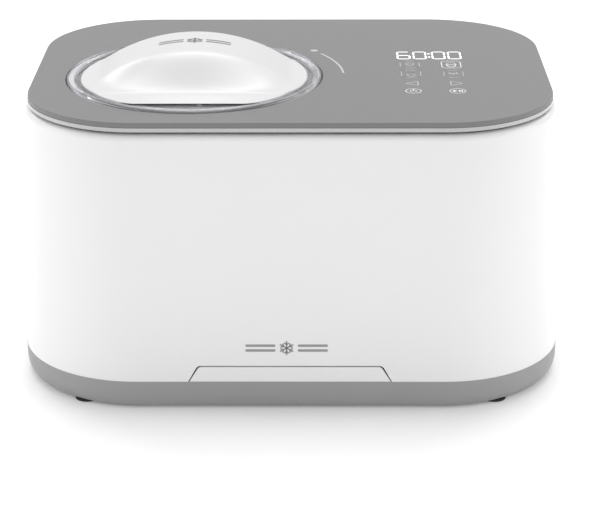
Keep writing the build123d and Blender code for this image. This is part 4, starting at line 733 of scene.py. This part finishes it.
def grip_mesh():
    """Closed skin of the grip: top, bevelled rim, wall and hollow underside."""
    build = bmesh.new()

    def sheet(height, inset, drop):
        rows = []
        for row in range(GRIP_ROWS + 1):
            y = CAP_FRONT + inset + (CAP_BACK - CAP_FRONT - 2 * inset) * row / GRIP_ROWS
            half = cap_half_width(y) - inset
            line = []
            for column in range(GRIP_COLUMNS + 1):
                x = half * (2 * column / GRIP_COLUMNS - 1)
                z = height(x, y) - drop
                line.append(build.verts.new((LID_X + x * MM, LID_Y + y * MM, z * MM)))
            rows.append(line)
        return rows

    def rim(rows):
        left = [line[0] for line in rows[1:-1]]
        right = [line[-1] for line in rows[1:-1]]
        return rows[0] + right + rows[-1][::-1] + left[::-1]

    def cover(rows):
        for low_line, high_line in zip(rows, rows[1:]):
            for i in range(GRIP_COLUMNS):
                build.faces.new((low_line[i], low_line[i + 1], high_line[i + 1], high_line[i]))

    def wall(first, second):
        for i in range(len(first)):
            j = (i + 1) % len(first)
            build.faces.new((first[i], first[j], second[j], second[i]))

    top = sheet(grip_top, CAP_EDGE, 0.0)
    edge = sheet(grip_top, 0.0, CAP_EDGE)
    under = sheet(grip_underside, 0.0, 0.0)
    cover(top)
    cover(under)
    wall(rim(top), rim(edge))
    wall(rim(edge), rim(under))
    spare = [vert for line in edge[1:-1] for vert in line[1:-1]]
    bmesh.ops.delete(build, geom=spare, context="VERTS")
    bmesh.ops.recalc_face_normals(build, faces=build.faces)
    for face in build.faces:
        face.smooth = True
    for line in build.edges:
        if len(line.link_faces) == 2 and line.calc_face_angle() > CREASE:
            line.smooth = False
    mesh = bpy.data.meshes.new("grip_skin")
    build.to_mesh(mesh)
    build.free()
    return mesh


# Plain mark along the top of the arch
ARCH_MARK_Y = 15.0
ARCH_MARK_HALF = 27.5
ARCH_MARK_GAP = 10.0
ARCH_MARK_STEP = 2.5
ARCH_MARK_LEVEL = 2.6
ARCH_MARK_WIDTH = 2.6
ARCH_FLAKE = 6.6
ARCH_FLAKE_LINE = 1.5
ARCH_MARK_LIFTS = (-0.05, 0.04)


def on_arch(outlines):
    """Thin tiles on the arch, from flat outlines in the lid's own x and y in mm."""
    build = bmesh.new()
    for outline in outlines:
        rings = []
        for lift in ARCH_MARK_LIFTS:
            ring = []
            for x, y in outline:
                height = grip_top(x, y) + lift
                ring.append(build.verts.new((LID_X + x * MM, LID_Y + y * MM, height * MM)))
            rings.append(ring)
        low_ring, high_ring = rings
        build.faces.new(high_ring)
        build.faces.new(low_ring[::-1])
        for i in range(len(outline)):
            j = (i + 1) % len(outline)
            build.faces.new((low_ring[i], low_ring[j], high_ring[j], high_ring[i]))
    bmesh.ops.recalc_face_normals(build, faces=build.faces)
    mesh = bpy.data.meshes.new("arch_mark")
    build.to_mesh(mesh)
    build.free()
    return mesh


arch_mark = snowflake((0.0, ARCH_MARK_Y), ARCH_FLAKE, ARCH_FLAKE_LINE)
bar_steps = int((ARCH_MARK_HALF - ARCH_MARK_GAP) / ARCH_MARK_STEP)
bar_places = [ARCH_MARK_GAP + ARCH_MARK_STEP * step for step in range(bar_steps + 1)]
for side in (-1, 1):
    for level in (-ARCH_MARK_LEVEL, ARCH_MARK_LEVEL):
        path = [(side * place, ARCH_MARK_Y + level) for place in bar_places]
        arch_mark += path_strokes(path, ARCH_MARK_WIDTH)
place_piece("arch_mark", on_arch(arch_mark), MARK_DARK, "lid")

grip_skin = place_piece("grip_skin", grip_mesh(), GRIP_WHITE, "lid")
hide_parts("lid_grip")

# ---------------------------------------------------------------- camera, floor and light
FOCAL_MM = 121.629
CAMERA_PLACE = (0.019243, -1.564463, 0.683187)
CAMERA_TURN = 0.00802561
CAMERA_TILT = math.radians(68.5234)
CAMERA_ROLL = -0.00297924
SENSOR_WIDTH_MM = 36.0
NEAREST = 0.02
FLOOR_HALF = 8.0
FLOOR_GLOW = 0.11
FLOOR_SCALE = 3.0
FLOOR_SHADES = ((0.93, 0.93, 0.93), (0.95, 0.95, 0.95))
WORLD_GLOW = 0.58
MIDDLE = (0.0, 0.0, 0.12)   # the point that every soft box faces

camera_data = bpy.data.cameras.new("camera")
camera_data.lens = FOCAL_MM
camera_data.sensor_width = SENSOR_WIDTH_MM
camera_data.clip_start = NEAREST
camera = bpy.data.objects.new("camera", camera_data)
camera.location = CAMERA_PLACE
camera_turns = Matrix.Rotation(CAMERA_TURN, 3, "Z") @ Matrix.Rotation(CAMERA_TILT, 3, "X")
camera.rotation_euler = (camera_turns @ Matrix.Rotation(CAMERA_ROLL, 3, "Z")).to_euler()
SCENE.collection.objects.link(camera)
SCENE.camera = camera
SCENE.view_settings.view_transform = "Standard"

world = bpy.data.worlds.new("studio")
world.use_nodes = True
background = world.node_tree.nodes["Background"]
background.inputs["Color"].default_value = WHITE_LIGHT
background.inputs["Strength"].default_value = WORLD_GLOW
SCENE.world = world


def floor_piece():
    """Pale studio floor, large enough to fill the view."""
    mesh = bpy.data.meshes.new("floor")
    grid = bmesh.new()
    bmesh.ops.create_grid(grid, x_segments=8, y_segments=8, size=FLOOR_HALF)
    grid.to_mesh(mesh)
    grid.free()
    m = Nodes("floor_white")
    m.link(m.tint(m.noise(FLOOR_SCALE), *FLOOR_SHADES), m.shader.inputs["Base Color"])
    m.set(Roughness=0.8, Specular_IOR_Level=0.2, Emission_Color=WHITE_LIGHT, Emission_Strength=FLOOR_GLOW)
    mesh.materials.append(m.material)
    floor = bpy.data.objects.new("floor", mesh)
    SCENE.collection.objects.link(floor)


def aimed(name, data, place, target):
    """Hang a light at a place, facing a target."""
    light = bpy.data.objects.new(name, data)
    light.location = place
    light.rotation_euler = (Vector(target) - Vector(place)).to_track_quat("-Z", "Y").to_euler()
    SCENE.collection.objects.link(light)


def soft_box(name, place, size, watts):
    """A flat studio light that faces the object's middle."""
    data = bpy.data.lights.new(name, "AREA")
    data.shape = "RECTANGLE"
    data.size, data.size_y = size
    data.energy = watts
    aimed(name, data, place, MIDDLE)


def soft_sky(name, direction, spread, strength):
    """Broad light from far away. The wider the spread in degrees, the softer its shadows."""
    data = bpy.data.lights.new(name, "SUN")
    data.angle = math.radians(spread)
    data.energy = strength
    aimed(name, data, direction, (0.0, 0.0, 0.0))


floor_piece()
soft_sky("overhead", (0.0, 0.75, 2.0), 38.0, 1.3)
soft_box("front_box", (0.0, -1.75, 0.35), (1.8, 0.8), 1.5)
soft_box("back_box", (0.0, 1.0, 1.6), (1.2, 0.5), 3.6)
soft_box("back_left_box", (-0.85, 0.95, 1.05), (0.6, 0.6), 3.6)
soft_box("back_right_box", (0.85, 0.95, 1.05), (0.6, 0.6), 3.6)
soft_box("left_box", (-1.3, -0.15, 0.65), (0.8, 1.0), 3.2)
soft_box("right_box", (1.3, -0.15, 0.65), (0.8, 1.0), 3.2)
